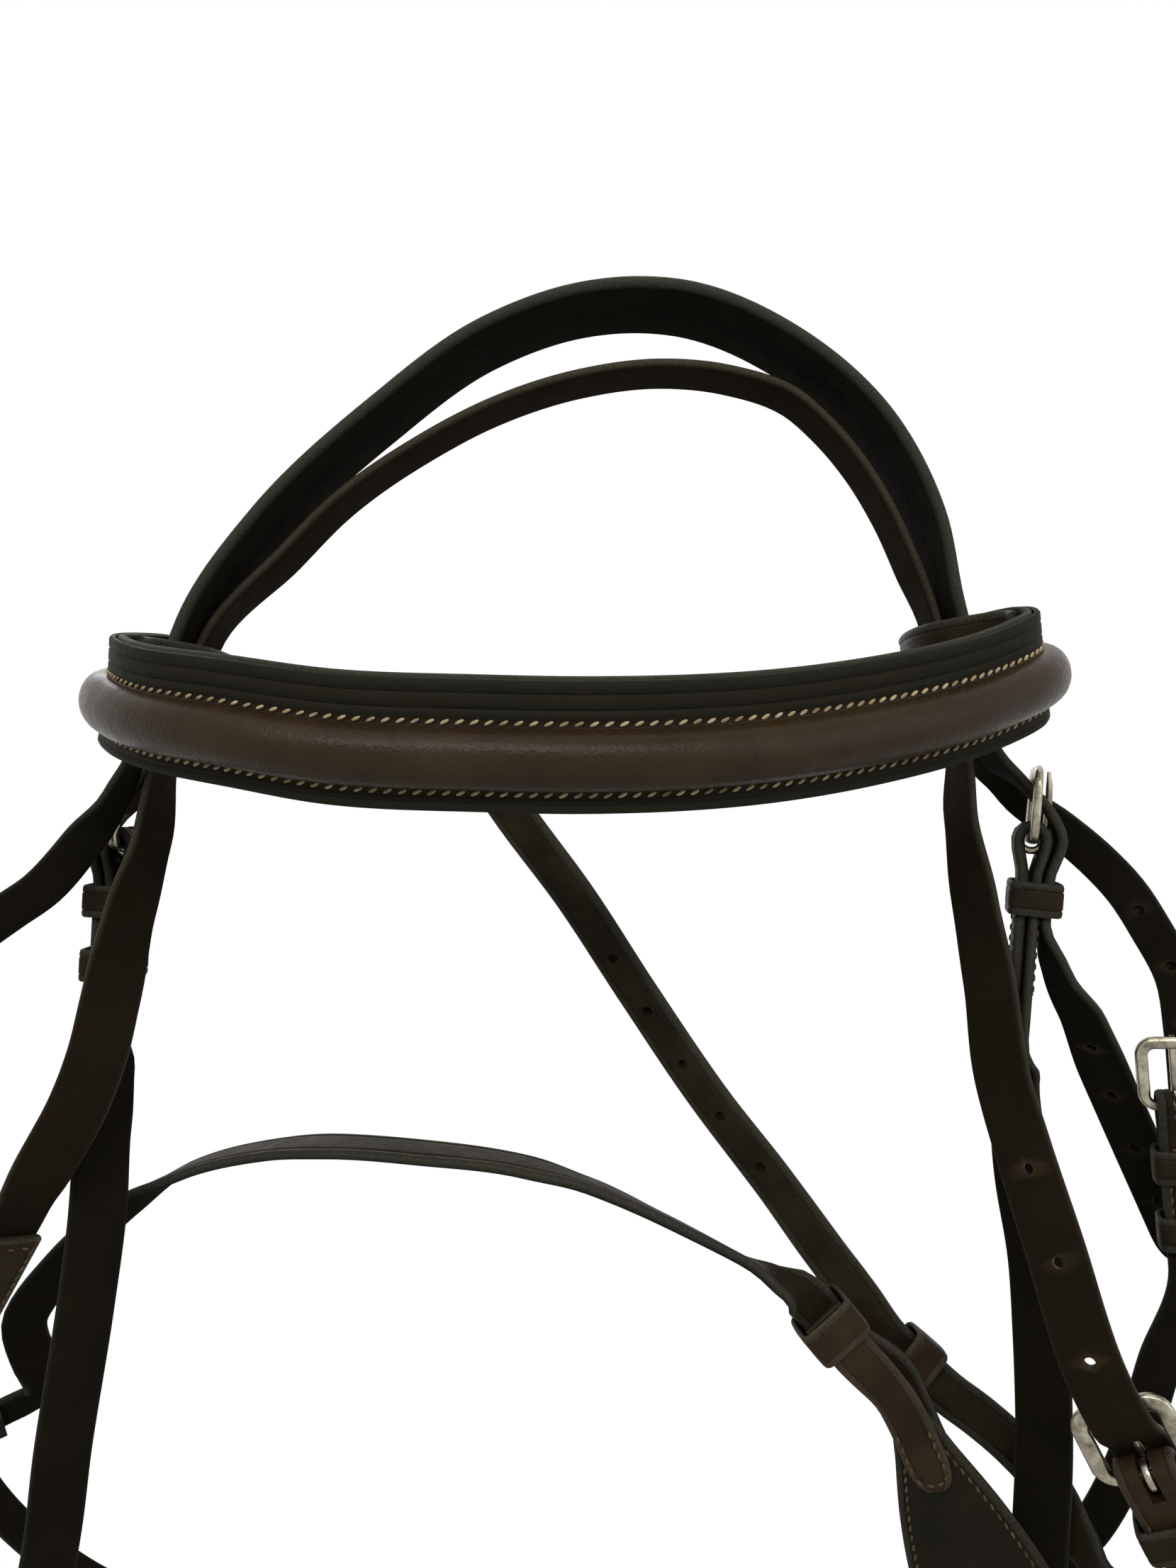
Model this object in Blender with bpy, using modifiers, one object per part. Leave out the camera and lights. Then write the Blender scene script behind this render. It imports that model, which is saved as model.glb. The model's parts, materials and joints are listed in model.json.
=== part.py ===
"""Figure eight bridle, hanging by its crown, in metres with +Z up.

The frame has +X towards the near (buckled) side, +Y away from the viewer and its origin
under the middle of the crown, where a hook or a bracket carries the bridle. Every strap is
a ribbon of leather laid along a smooth route; a route is a list of stations, each a point
and the direction across the strap. Buckles, rings and keepers sit in places: flat spots with
an origin and three directions, across the strap, up along it, and out from the horse.
"""
import math

import bmesh
import bpy
from mathutils import Matrix, Vector

# The three sizes that every free route follows
ARCH_HALF_WIDTH = 0.100
BROWBAND_REACH = 0.100
ARCH_HEIGHT = 0.100

# Strap widths
CROWN_WIDTH = 0.034
CHEEK_WIDTH = 0.016
HEADSTALL_WIDTH = 0.016
NOSE_WIDTH = 0.013
THROAT_WIDTH = 0.012
SPLIT_INSET = 0.0003
SPLIT_LAP = 0.012
NECK_SHARE = 0.74
NECK_REACH = 0.013
NECK_RAMP = 0.012

# Leather thickness
CROWN_LEATHER = 0.004
CHEEK_LEATHER = 0.003
HEADSTALL_LEATHER = 0.003
NOSE_LEATHER = 0.003
THROAT_LEATHER = 0.0026
KEEPER_LEATHER = 0.0016

# Browband
BROWBAND_HEIGHT = 0.030
BACKING_LEATHER = 0.0026
FLANGE_LEATHER = 0.0014
ROLL_WIDTH = 0.0136
ROLL_SHIFT = 0.0024
ROLL_RISE = 0.0062
LOOP_RETURN = 0.033
LOOP_SEAM = 0.010

# Buckles, rings and studs
BUCKLE_WIRE = 0.0032
BUCKLE_LENGTH = 0.018
BUCKLE_SIDE_GAP = 0.0012
BUCKLE_CORNER = 0.0035
TONGUE_WIRE = 0.0024
TONGUE_OVERRUN = 0.0016
TONGUE_BEND_SHARE = 0.45
TONGUE_HOLE_SHARES = (0.46, 0.86)
RING_RADIUS = 0.016
RING_WIRE = 0.0044
STUD_SHANK = 0.0030
STUD_HEAD = 0.0070
STUD_HEAD_HEIGHT = 0.0026

# Strap ends, holes and keepers
TIP_LENGTH = 0.011
TIP_END_SHARE = 0.42
HOLE = 0.0030
HOLE_PITCH = 0.019
HEADSTALL_HOLE_PITCH = 0.0245
FIRST_HOLE_SHARE = 1.2
NOSE_FIRST_HOLE_SHARE = 3.85
# The headstall leans back a little over the poll
ARCH_TILT_SHARE = 0.10
KEEPER_LENGTH = 0.0095
KEEPER_CORNER = 0.0010
CHEEK_FOLD = 0.046
RING_FOLD = 0.080
SHORT_FOLD = 0.0175
FREE_FOLD = 0.040
OFF_BILLET = 0.048
NEAR_BILLET = 0.024
JAW_BILLET = 0.050
FOLD_CLOSE = 0.0120
FOLD_ARC_STEPS = 6
FLAT_SHARE = 1.3

# Nose crossover
PAD_LENGTH = 0.078
PAD_WIDTH = 0.043
PAD_LEATHER = 0.003
TAB_WIDTH = 0.0130
TAB_LEATHER = 0.0022
K1_FRONT = 0.0058
K1_BACK = 0.0034
K2_DEPTH = 0.0062
CROSS_KEEPER_LENGTH = 0.0120
TAB_FOOT_SHARE = 0.16

# Bit loops at the foot of the cheekpieces
BIT_LOOP_RADIUS = 0.0070
BIT_LOOP_RETURN = 0.044

# Clearances and modelling steps
GAP = 0.0004
RUNNING_GAP = 0.0006
PASS_GAP = 0.0011
SAMPLE_STEP = 0.0100
SHORTEST_STEP = 0.0008
CUT_OVERRUN = 0.004

# Colours as written in sRGB, 0 to 1
DARK_LEATHER = (0.095, 0.075, 0.060)
BROWN_LEATHER = (0.150, 0.110, 0.080)
PADDED_LEATHER = (0.170, 0.125, 0.092)
STEEL = (0.640, 0.620, 0.550)

MODEL = "figure_eight_bridle"


def fresh_collections():
    """Empty the scene, then make the collections for the parts and for the cutters."""
    for old in list(bpy.data.objects):
        bpy.data.objects.remove(old, do_unlink=True)
    made = []
    for name in (MODEL, "cutters"):
        group = bpy.data.collections.new(name)
        bpy.context.scene.collection.children.link(group)
        made.append(group)
    return made


PARTS, CUTTERS = fresh_collections()


def linear(colour):
    """An sRGB colour as the linear values that a shader takes."""
    return [((c + 0.055) / 1.055) ** 2.4 if c > 0.04045 else c / 12.92 for c in colour]


def finish_with(thing, colour, metallic=0.0, roughness=0.55):
    """Give an object its own Principled material."""
    material = bpy.data.materials.new(thing.name)
    material.use_nodes = True
    shader = material.node_tree.nodes["Principled BSDF"]
    shader.inputs["Base Color"].default_value = (*linear(colour), 1.0)
    shader.inputs["Metallic"].default_value = metallic
    shader.inputs["Roughness"].default_value = roughness
    thing.data.materials.append(material)


def add_object(name, data, group):
    thing = bpy.data.objects.new(name, data)
    group.objects.link(thing)
    if group is CUTTERS:
        thing.hide_render = True
        thing.display_type = "WIRE"
    return thing


def mesh_object(name, bm, group):
    mesh = bpy.data.meshes.new(name)
    bm.to_mesh(mesh)
    bm.free()
    return add_object(name, mesh, group)


def seat(thing, place):
    """Put an object's origin and axes on a place, and leave its shape where it is."""
    thing.data.transform(place.matrix().inverted())
    thing.matrix_world = place.matrix()


def smooth(bm):
    for face in bm.faces:
        face.smooth = True


def cut(target, cutter, how="DIFFERENCE"):
    boolean = target.modifiers.new(cutter.name, "BOOLEAN")
    boolean.operation = how
    boolean.solver = "EXACT"
    boolean.object = cutter


class Place:
    """A flat spot: its origin, and the directions up the strap, out from the horse and across."""

    def __init__(self, origin, up, out):
        self.origin = Vector(origin)
        self.up = Vector(up).normalized()
        self.out = Vector(out)
        self.out = (self.out - self.up * self.out.dot(self.up)).normalized()
        self.across = self.up.cross(self.out)

    def at(self, across, up, out):
        return self.origin + self.across * across + self.up * up + self.out * out

    def matrix(self):
        turn = Matrix((self.across, self.up, self.out)).transposed().to_4x4()
        return Matrix.Translation(self.origin) @ turn


def spot(x_share, y_share, z_share):
    """A point given in shares of the arch's half width, the browband's reach and the arch's height."""
    return Vector((x_share * ARCH_HALF_WIDTH, y_share * BROWBAND_REACH, z_share * ARCH_HEIGHT))


def stations_of(shares):
    return [(spot(*row[:3]), Vector(row[3:]).normalized()) for row in shares]


def hermite(points, index, t):
    """A point on the smooth curve through the points, t of the way from one to the next."""
    here, there = points[index], points[index + 1]
    span = (there - here).length

    def slope(i):
        if i == 0:
            return (points[1] - points[0]).normalized()
        if i == len(points) - 1:
            return (points[-1] - points[-2]).normalized()
        before = points[i] - points[i - 1]
        after = points[i + 1] - points[i]
        return (before / before.length * after.length
                + after / after.length * before.length) / (before.length + after.length)

    square, cube = t * t, t * t * t
    return (here * (2 * cube - 3 * square + 1) + slope(index) * span * (cube - 2 * square + t)
            + there * (3 * square - 2 * cube) + slope(index + 1) * span * (cube - square))


class Route:
    """A smooth route through stations, read back by the length run along it."""

    def __init__(self, stations, step=None):
        step = step or SAMPLE_STEP
        points = [point for point, across in stations]
        self.points, lean = [points[0]], [stations[0][1]]
        self.marks = [0]
        for index in range(len(points) - 1):
            span = (points[index + 1] - points[index]).length
            pieces = max(1, math.ceil(span / step))
            for piece in range(1, pieces + 1):
                t = piece / pieces
                self.points.append(hermite(points, index, t))
                blend = t * t * (3 - 2 * t)
                lean.append(stations[index][1].lerp(stations[index + 1][1], blend))
            self.marks.append(len(self.points) - 1)
        self.runs = [0.0]
        for before, after in zip(self.points, self.points[1:]):
            self.runs.append(self.runs[-1] + (after - before).length)
        self.length = self.runs[-1]
        self.across = []
        for index, side in enumerate(lean):
            along = self.heading(index)
            self.across.append((side - along * side.dot(along)).normalized())

    def run_near(self, point):
        """How far along the route its nearest sampled point lies."""
        index = min(range(len(self.points)), key=lambda i: (self.points[i] - point).length)
        return self.runs[index]

    def heading(self, index):
        before = self.points[max(0, index - 1)]
        after = self.points[min(len(self.points) - 1, index + 1)]
        return (after - before).normalized()

    def run_of(self, station):
        """How far along the route a station lies; negative stations count from the end."""
        return self.runs[self.marks[station]]

    def place(self, run):
        """The place at a run: up looks along the route, out is the side the strap's face shows."""
        index = max(i for i, value in enumerate(self.runs) if value <= run or i == 0)
        index = min(index, len(self.runs) - 2)
        share = (run - self.runs[index]) / (self.runs[index + 1] - self.runs[index])
        point = self.points[index].lerp(self.points[index + 1], share)
        side = self.across[index].lerp(self.across[index + 1], share)
        up = (self.points[index + 1] - self.points[index]).normalized()
        return Place(point, up, side.cross(up))


def tip_scale(distance):
    """The share of its width that a rounded strap tip keeps at a distance from its end."""
    if distance >= TIP_LENGTH:
        return 1
    reach = 1 - distance / TIP_LENGTH
    return TIP_END_SHARE + (1 - TIP_END_SHARE) * math.sqrt(1 - reach ** 3)


TIP_STEP_SHARES = (0, 0.10, 0.28, 0.58, 1)


def neck_scale(distance):
    """The share of its width that a strap keeps where it is drawn in to turn round a ring."""
    reach = min(1, max(0, (distance - NECK_REACH) / NECK_RAMP))
    return NECK_SHARE + (1 - NECK_SHARE) * reach * reach * (3 - 2 * reach)


def ribbon(name, route, width, leather, group=PARTS, point_start=False, point_end=False,
           necks=()):
    """A strap: an open ribbon along the route, given its thickness by Solidify."""
    runs = set(route.runs)
    if point_start:
        runs |= {share * TIP_LENGTH for share in TIP_STEP_SHARES}
    if point_end:
        runs |= {route.length - share * TIP_LENGTH for share in TIP_STEP_SHARES}
    kept = []
    for run in sorted(runs):
        if not kept or run - kept[-1] > SHORTEST_STEP:
            kept.append(run)
    kept[-1] = route.length
    bm = bmesh.new()
    bmesh.ops.create_grid(bm, x_segments=1, y_segments=len(kept) - 1, size=1)
    bm.verts.ensure_lookup_table()
    for row, run in enumerate(kept):
        here = route.place(run)
        half = width / 2
        for neck in necks:
            half *= neck_scale(abs(run - neck))
        if point_start:
            half *= tip_scale(run)
        if point_end:
            half *= tip_scale(route.length - run)
        bm.verts[2 * row].co = here.at(-half, 0, 0)
        bm.verts[2 * row + 1].co = here.at(half, 0, 0)
    bmesh.ops.recalc_face_normals(bm, faces=bm.faces)
    strap = mesh_object(name, bm, group)
    solid = strap.modifiers.new("leather", "SOLIDIFY")
    solid.thickness = leather
    solid.offset = 0
    return strap


def settle(start, end, steps=4):
    """Points between two levels that leave the first and reach the second without a kink."""
    rows = []
    for step in range(1, steps):
        share = step / steps
        ease = (1 - math.cos(math.pi * share)) / 2
        rows.append((start[0] + (end[0] - start[0]) * share, start[1] + (end[1] - start[1]) * ease))
    return rows


def fold_stations(place, radius, leather, close, length, run_on=True):
    """A strap's turn round a bar at the place's origin and back along itself.

    The strap comes up on the outer side, closes on its own returned end below the bar, and
    lies with the gap between the two layers on the bar's middle plane. With run_on it stays
    beside the returned end until past that end.
    """
    near = (leather + GAP) / 2
    flat = -close * FLAT_SHARE
    outer = [(flat, near), (-close, near)]
    outer += settle((-close, near), (0, radius))
    arc = []
    for step in range(FOLD_ARC_STEPS + 1):
        angle = math.pi * step / FOLD_ARC_STEPS
        arc.append((radius * math.sin(angle), radius * math.cos(angle)))
    inner = [(up, -out) for up, out in reversed(outer)] + [(-length, -near)]
    if run_on:
        outer = [(-length - 3 * leather, near), (-length - leather, near)] + outer
    return [(place.at(0, up, out), place.across.copy()) for up, out in outer + arc + inner]


def turned(stations):
    return list(reversed(stations))


def drill(name, target, places, depth, diameter=None):
    """Round holes through a strap."""
    bm = bmesh.new()
    for place in places:
        bmesh.ops.create_cone(bm, cap_ends=True, segments=8, radius1=(diameter or HOLE) / 2,
                              radius2=(diameter or HOLE) / 2, depth=depth + CUT_OVERRUN,
                              matrix=place.matrix())
    cut(target, mesh_object(name, bm, CUTTERS))


def box_cutter(name, place, size):
    bm = bmesh.new()
    bmesh.ops.create_cube(bm, size=1)
    bmesh.ops.scale(bm, vec=size, verts=bm.verts)
    bmesh.ops.transform(bm, matrix=place.matrix(), verts=bm.verts)
    return mesh_object(name, bm, CUTTERS)


def wire(name, points, thickness, closed=False, colour=STEEL):
    """A round metal wire through points: a POLY curve with a bevel."""
    curve = bpy.data.curves.new(name, "CURVE")
    curve.dimensions = "3D"
    curve.bevel_depth = thickness / 2
    curve.bevel_resolution = 2
    curve.use_fill_caps = True
    spline = curve.splines.new("POLY")
    spline.points.add(len(points) - 1)
    for target, point in zip(spline.points, points):
        target.co = (*point, 1)
    spline.use_cyclic_u = closed
    thing = add_object(name, curve, PARTS)
    finish_with(thing, colour, metallic=1.0, roughness=0.32)
    return thing


def buckle(label, place, strap_width):
    """A buckle's frame, with its hinge bar on the place's origin, and the tongue on that bar."""
    half = strap_width / 2 + BUCKLE_SIDE_GAP + BUCKLE_WIRE / 2
    top = BUCKLE_LENGTH
    round_in = BUCKLE_CORNER
    outline = []
    corners = ((half, 0, -1, 1), (half, top, -1, -1), (-half, top, 1, -1), (-half, 0, 1, 1))
    turn_from = (270, 0, 90, 180)
    for (x, y, side, rise), start in zip(corners, turn_from):
        for step in range(3):
            angle = math.radians(start + 45 * step)
            outline.append(place.at(x + side * round_in + round_in * math.cos(angle),
                                    y + rise * round_in + round_in * math.sin(angle), 0))
    seat(wire(f"{label}_buckle_frame", outline, BUCKLE_WIRE, closed=True), place)
    eye = BUCKLE_WIRE / 2 + RUNNING_GAP + TONGUE_WIRE / 2
    rows = []
    for step in range(8):
        angle = -1.5 * math.pi * step / 7
        rows.append((eye * math.cos(angle), eye * math.sin(angle)))
    rows += [(top * TONGUE_BEND_SHARE, eye), (top + TONGUE_OVERRUN, eye)]
    tongue = [place.at(0, up, out) for up, out in rows]
    seat(wire(f"{label}_buckle_tongue", tongue, TONGUE_WIRE), place)


def fold_radius(leather):
    """The middle radius of a strap's turn round a buckle's hinge bar."""
    return BUCKLE_WIRE / 2 + RUNNING_GAP + leather / 2


def tongue_slot(label, strap, place, leather):
    """The slot in a turned strap that the tongue's eye stands in."""
    eye = BUCKLE_WIRE / 2 + RUNNING_GAP + TONGUE_WIRE
    top = fold_radius(leather) + leather / 2 + CUT_OVERRUN
    foot = eye + GAP
    opened = Place(place.at(0, (top - foot) / 2, 0), place.up, place.out)
    size = (TONGUE_WIRE + 2 * RUNNING_GAP, top + foot, 2 * top)
    cut(strap, box_cutter(f"{label}_slot", opened, size))


def billet_stations(place, leather, own, straight):
    """A strap end done up in a buckle: under the top bar, over the turned strap, and down."""
    over = fold_radius(leather) + leather / 2 + PASS_GAP + own / 2
    under = BUCKLE_WIRE / 2 + PASS_GAP + own / 2
    lean = math.asin((over + under) / BUCKLE_LENGTH)
    lying = leather + GAP / 2 + GAP + own / 2
    rows = [(BUCKLE_LENGTH - under * math.sin(lean), -under * math.cos(lean)),
            (over * math.sin(lean), over * math.cos(lean)),
            (0, over)]
    rows += settle((0, over), (-FOLD_CLOSE, lying))
    rows += [(-FOLD_CLOSE, lying), (-FOLD_CLOSE * FLAT_SHARE, lying), (-straight, lying)]
    if straight > 2 * FOLD_CLOSE:
        rows.insert(-1, (-straight + leather, lying))
    return [(place.at(0, up, out), place.across.copy()) for up, out in rows]


def billet_slot(label, strap, place):
    """The hole that the tongue passes, stretched to the tongue's slant."""
    rise = BUCKLE_WIRE / 2 + RUNNING_GAP + TONGUE_WIRE / 2
    wide = TONGUE_WIRE + 2 * RUNNING_GAP
    centre_share, length_share = TONGUE_HOLE_SHARES
    middle = Place(place.at(0, BUCKLE_LENGTH * centre_share, rise), place.up, place.out)
    cut(strap, box_cutter(f"{label}_hole", middle, (wide, BUCKLE_LENGTH * length_share, wide)))


def keeper(name, place, width, low, high, length=None, colour=DARK_LEATHER):
    """A closed leather loop round a stack of straps that spans low to high outwards."""
    length = length or KEEPER_LENGTH
    half = width / 2 + RUNNING_GAP
    low, high = low - RUNNING_GAP, high + RUNNING_GAP
    corner = min(KEEPER_CORNER, (high - low) / 3)
    bm = bmesh.new()
    outline = []
    corners = ((half, high, -1, -1, 0), (-half, high, 1, -1, 90), (-half, low, 1, 1, 180),
               (half, low, -1, 1, 270))
    for x, y, side, rise, start in corners:
        for step in range(3):
            angle = math.radians(start + 45 * step)
            outline.append((x + side * corner * (1 - abs(math.cos(angle))),
                            y + rise * corner * (1 - abs(math.sin(angle)))))
    low_ring, high_ring = [[bm.verts.new(place.at(across, up, out)) for across, out in outline]
                           for up in (-length / 2, length / 2)]
    count = len(outline)
    for index in range(count):
        after = (index + 1) % count
        bm.faces.new((low_ring[after], low_ring[index], high_ring[index], high_ring[after]))
    loop = mesh_object(name, bm, PARTS)
    solid = loop.modifiers.new("leather", "SOLIDIFY")
    solid.thickness = KEEPER_LEATHER
    solid.offset = 1
    solid.use_even_offset = True
    finish_with(loop, colour)
    seat(loop, place)


def ring(name, place):
    bm = bmesh.new()
    segments, sides = 40, 10
    grid = []
    for turn in range(segments):
        angle = 2 * math.pi * turn / segments
        row = []
        for side in range(sides):
            roll = 2 * math.pi * side / sides
            reach = RING_RADIUS + RING_WIRE / 2 * math.cos(roll)
            row.append(bm.verts.new(place.at(reach * math.cos(angle), reach * math.sin(angle),
                                             RING_WIRE / 2 * math.sin(roll))))
        grid.append(row)
    for turn in range(segments):
        for side in range(sides):
            bm.faces.new((grid[turn][side], grid[(turn + 1) % segments][side],
                          grid[(turn + 1) % segments][(side + 1) % sides],
                          grid[turn][(side + 1) % sides]))
    bmesh.ops.recalc_face_normals(bm, faces=bm.faces)
    smooth(bm)
    thing = mesh_object(name, bm, PARTS)
    finish_with(thing, STEEL, metallic=1.0, roughness=0.32)
    seat(thing, place)


def ring_fold_radius(leather, width):
    """A strap's turn round a ring clears the ring's curve across the strap's width."""
    half = width * NECK_SHARE / 2
    sagitta = RING_RADIUS - math.sqrt(RING_RADIUS ** 2 - half ** 2)
    return RING_WIRE / 2 + sagitta + GAP + leather / 2


def ring_spot(place, degrees, swing=0):
    """The place on a ring's rim where a strap turns round it.

    The strap sits at an angle from the ring's up, and swings about the rim towards its out.
    """
    angle, lean = math.radians(degrees), math.radians(swing)
    away = place.up * math.cos(angle) + place.across * math.sin(angle)
    leaving = away * math.cos(lean) + place.out * math.sin(lean)
    out = place.out * math.cos(lean) - away * math.sin(lean)
    return Place(place.origin + away * RING_RADIUS, -leaving, out)


def ring_fold(at_ring, leather, width, length, face):
    """A strap's turn round a ring, begun at its returned end, and the width's middle facing face."""
    radius = ring_fold_radius(leather, width)
    stations = turned(fold_stations(at_ring, radius, leather, FOLD_CLOSE, length))
    return facing(stations, face), at_ring.at(0, radius, 0)


def facing(stations, face):
    """The same stations with each direction across turned to the side that face points to."""
    face = Vector(face)
    return [(point, side if side.dot(face) > 0 else -side) for point, side in stations]


# Places that carry the straps
LOOP_LEFT = Place(spot(-1.315, 0, -1.105), (0.37, 0, 0.93), (-0.93, 0, 0.37))
LOOP_RIGHT = Place(spot(0.97, 0, -1.055), (-0.24, 0, 0.97), (0.97, 0, 0.24))
OFF_RING = Place(spot(-2.20, 0.03, -3.43), (0.51, -0.22, 0.83), (-0.556, 0.613, 0.504))
NEAR_RING = Place(spot(1.59, -0.39, -3.64), (-0.45, 0.05, 0.89), (0.35, 0.92, 0.13))
NEAR_CHEEK = Place(spot(1.162, -0.07, -1.537), (0.08, 0, 0.997), (0.955, -0.29, -0.08))
OFF_CHEEK = Place(spot(-1.50, 0.10, -1.56), (0.05, 0, 1), (-1, 0, 0.05))
THROAT = Place(spot(1.57, -0.10, -2.295), (-0.08, 0, 0.997), (0.30, 0.95, 0.02))
CHIN = Place(spot(0.97, 0.19, -4.22), (0, 0.10, -0.995), (-0.20, -0.97, -0.10))
JAW = Place(spot(1.20, 0.75, -4.40), (0.75, -0.45, 0.42), (0.50, 0.80, -0.30))
PAD = Place(spot(0.958, -0.028, -3.523), (-0.40, 0, 0.92), (-0.35, -0.92, -0.15))

HEADSTALL_BUCKLE = Place(NEAR_RING.at(0, RING_RADIUS + 2 * SHORT_FOLD, 0), NEAR_RING.up,
                         NEAR_RING.out)


def headpiece():
    """The crown, with a cheek billet and a throat strap split from each side, as one leather."""
    crown_shares = (
        (-1.038, -0.643), (-0.71, -0.335), (-0.40, -0.112), (-0.12, -0.014), (0.02, 0),
        (0.16, -0.01), (0.475, -0.141), (0.722, -0.358), (0.871, -0.638))
    rise = Vector((0, 0, CROWN_LEATHER / 2))
    back = Vector((0, 1, 0))
    foot = BROWBAND_HEIGHT / 2 + SPLIT_LAP / 2
    head = BROWBAND_HEIGHT / 2 + GAP
    stations = [(LOOP_LEFT.at(0, -foot, 0), back), (LOOP_LEFT.at(0, head, 0), back),
                (LOOP_LEFT.at(0, head + CROWN_LEATHER, 0), back)]
    stations += [(spot(x, 0, z) + rise, back) for x, z in crown_shares]
    stations += [(LOOP_RIGHT.at(0, head + CROWN_LEATHER, 0), back),
                 (LOOP_RIGHT.at(0, head, 0), back), (LOOP_RIGHT.at(0, -foot, 0), back)]
    crown = ribbon("headpiece", Route(stations), CROWN_WIDTH, CROWN_LEATHER)
    finish_with(crown, DARK_LEATHER)

    front = -(CROWN_WIDTH / 2 - SPLIT_INSET)

    def start(loop, middle):
        """Where a split begins, inside the foot of the crown."""
        into = (foot - SPLIT_LAP, foot + GAP)
        return [(loop.at(0, -up, 0) + back * middle, back) for up in into]

    cheek_split = CHEEK_LEATHER
    throat_split = THROAT_LEATHER
    near_billet = start(LOOP_RIGHT, front + CHEEK_WIDTH / 2)
    near_billet += stations_of(((1.070, -0.07, -1.325, 0, 1, 0),))
    near_billet += billet_stations(NEAR_CHEEK, CHEEK_LEATHER, cheek_split, NEAR_BILLET)
    near_tail_shares = (
        (1.222, -0.09, -1.90, -0.05, 0.99, -0.02), (1.318, -0.04, -2.05, -0.40, 0.90, -0.12),
        (1.430, 0.05, -2.25, -0.60, 0.77, -0.24), (1.588, 0.11, -2.56, -0.64, 0.73, -0.27),
        (1.725, 0.15, -2.84, -0.64, 0.73, -0.27))
    near_billet += stations_of(near_tail_shares)
    near_route = Route(near_billet)
    near = ribbon("near_cheek_billet", near_route, CHEEK_WIDTH, cheek_split, CUTTERS,
                  point_end=True)
    first = near_route.length - HOLE_PITCH * FIRST_HOLE_SHARE
    holes = [near_route.place(first - HOLE_PITCH * n) for n in range(4)]
    drill("near_billet_holes", near, holes, cheek_split)
    billet_slot("near_cheek", near, NEAR_CHEEK)
    cut(crown, near, "UNION")

    off_billet = start(LOOP_LEFT, -front - CHEEK_WIDTH / 2)
    off_billet += facing(billet_stations(OFF_CHEEK, CHEEK_LEATHER, cheek_split, OFF_BILLET), back)
    off_route = Route(off_billet)
    off = ribbon("off_cheek_billet", off_route, CHEEK_WIDTH, cheek_split, CUTTERS, point_end=True)
    billet_slot("off_cheek", off, OFF_CHEEK)
    cut(crown, off, "UNION")

    near_throat = start(LOOP_RIGHT, -front - THROAT_WIDTH / 2)
    near_throat_shares = (
        (1.14, 0.128, -1.375, -0.20, 0.92, -0.20), (1.235, 0.15, -1.445, -0.40, 0.68, -0.55),
        (1.332, 0.15, -1.517, -0.50, 0.50, -0.70), (1.425, 0.125, -1.602, -0.60, 0.45, -0.66),
        (1.509, 0.10, -1.70, -0.70, 0.42, -0.55), (1.583, 0.09, -1.82, -0.80, 0.42, -0.38),
        (1.655, 0.085, -1.96, -0.88, 0.42, -0.18), (1.685, 0.09, -2.125, -0.9, 0.4, 0),
        (1.705, 0.10, -2.30, -0.9, 0.4, 0), (1.73, 0.12, -2.52, -0.9, 0.4, 0))
    near_throat += stations_of(near_throat_shares)
    throat_route = Route(near_throat)
    throat = ribbon("near_throat_billet", throat_route, THROAT_WIDTH, throat_split, CUTTERS,
                    point_end=True)
    first = throat_route.length - HOLE_PITCH * FIRST_HOLE_SHARE
    holes = [throat_route.place(first - HOLE_PITCH * n) for n in range(4)]
    drill("near_throat_holes", throat, holes, throat_split)
    cut(crown, throat, "UNION")

    long_throat = start(LOOP_LEFT, front + THROAT_WIDTH / 2)
    long_throat_shares = (
        (-1.445, -0.11, -1.415, 0.3, 0.9, 0), (-1.55, -0.10, -1.55, 0.6, 0.6, -0.5),
        (-1.68, -0.06, -1.68, 0.7, 0.35, -0.6), (-1.80, -0.02, -1.755, 0.6, 0.3, -0.7),
        (-1.93, 0.03, -1.84, 0.6, 0.3, -0.7), (-2.13, 0.12, -2.05, 0.7, 0.5, -0.5),
        (-2.25, 0.22, -2.40, 0.6, 0.8, -0.1), (-2.33, 0.40, -2.95, 0.5, 0.85, 0.1),
        (-2.36, 0.65, -3.55, 0.4, 0.85, 0.3), (-2.24, 0.92, -4.12, 0.3, 0.8, 0.5),
        (-1.94, 1.12, -4.52, 0.25, 0.8, 0.55),
        (-1.30, 1.28, -4.78, 0.2, 0.8, 0.6), (-0.20, 1.35, -4.92, 0, 0.8, 0.6),
        (0.85, 1.22, -4.78, -0.3, 0.8, 0.5), (1.38, 0.86, -4.32, -0.6, 0.75, 0.4),
        (1.52, 0.42, -3.85, -0.8, 0.5, 0.3), (1.568, 0.17, -3.41, -0.9, 0.4, 0.1),
        (1.565, 0.00, -3.07, -0.95, 0.3, 0))
    long_throat += stations_of(long_throat_shares)
    throat_fold = fold_stations(THROAT, fold_radius(throat_split), throat_split, FOLD_CLOSE,
                                FREE_FOLD)
    long_throat += facing(throat_fold, (-1, 0, 0))
    long_route = Route(long_throat)
    lash = ribbon("off_throat_strap", long_route, THROAT_WIDTH, throat_split, CUTTERS)
    tongue_slot("throat", lash, THROAT, throat_split)
    cut(crown, lash, "UNION")


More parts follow.
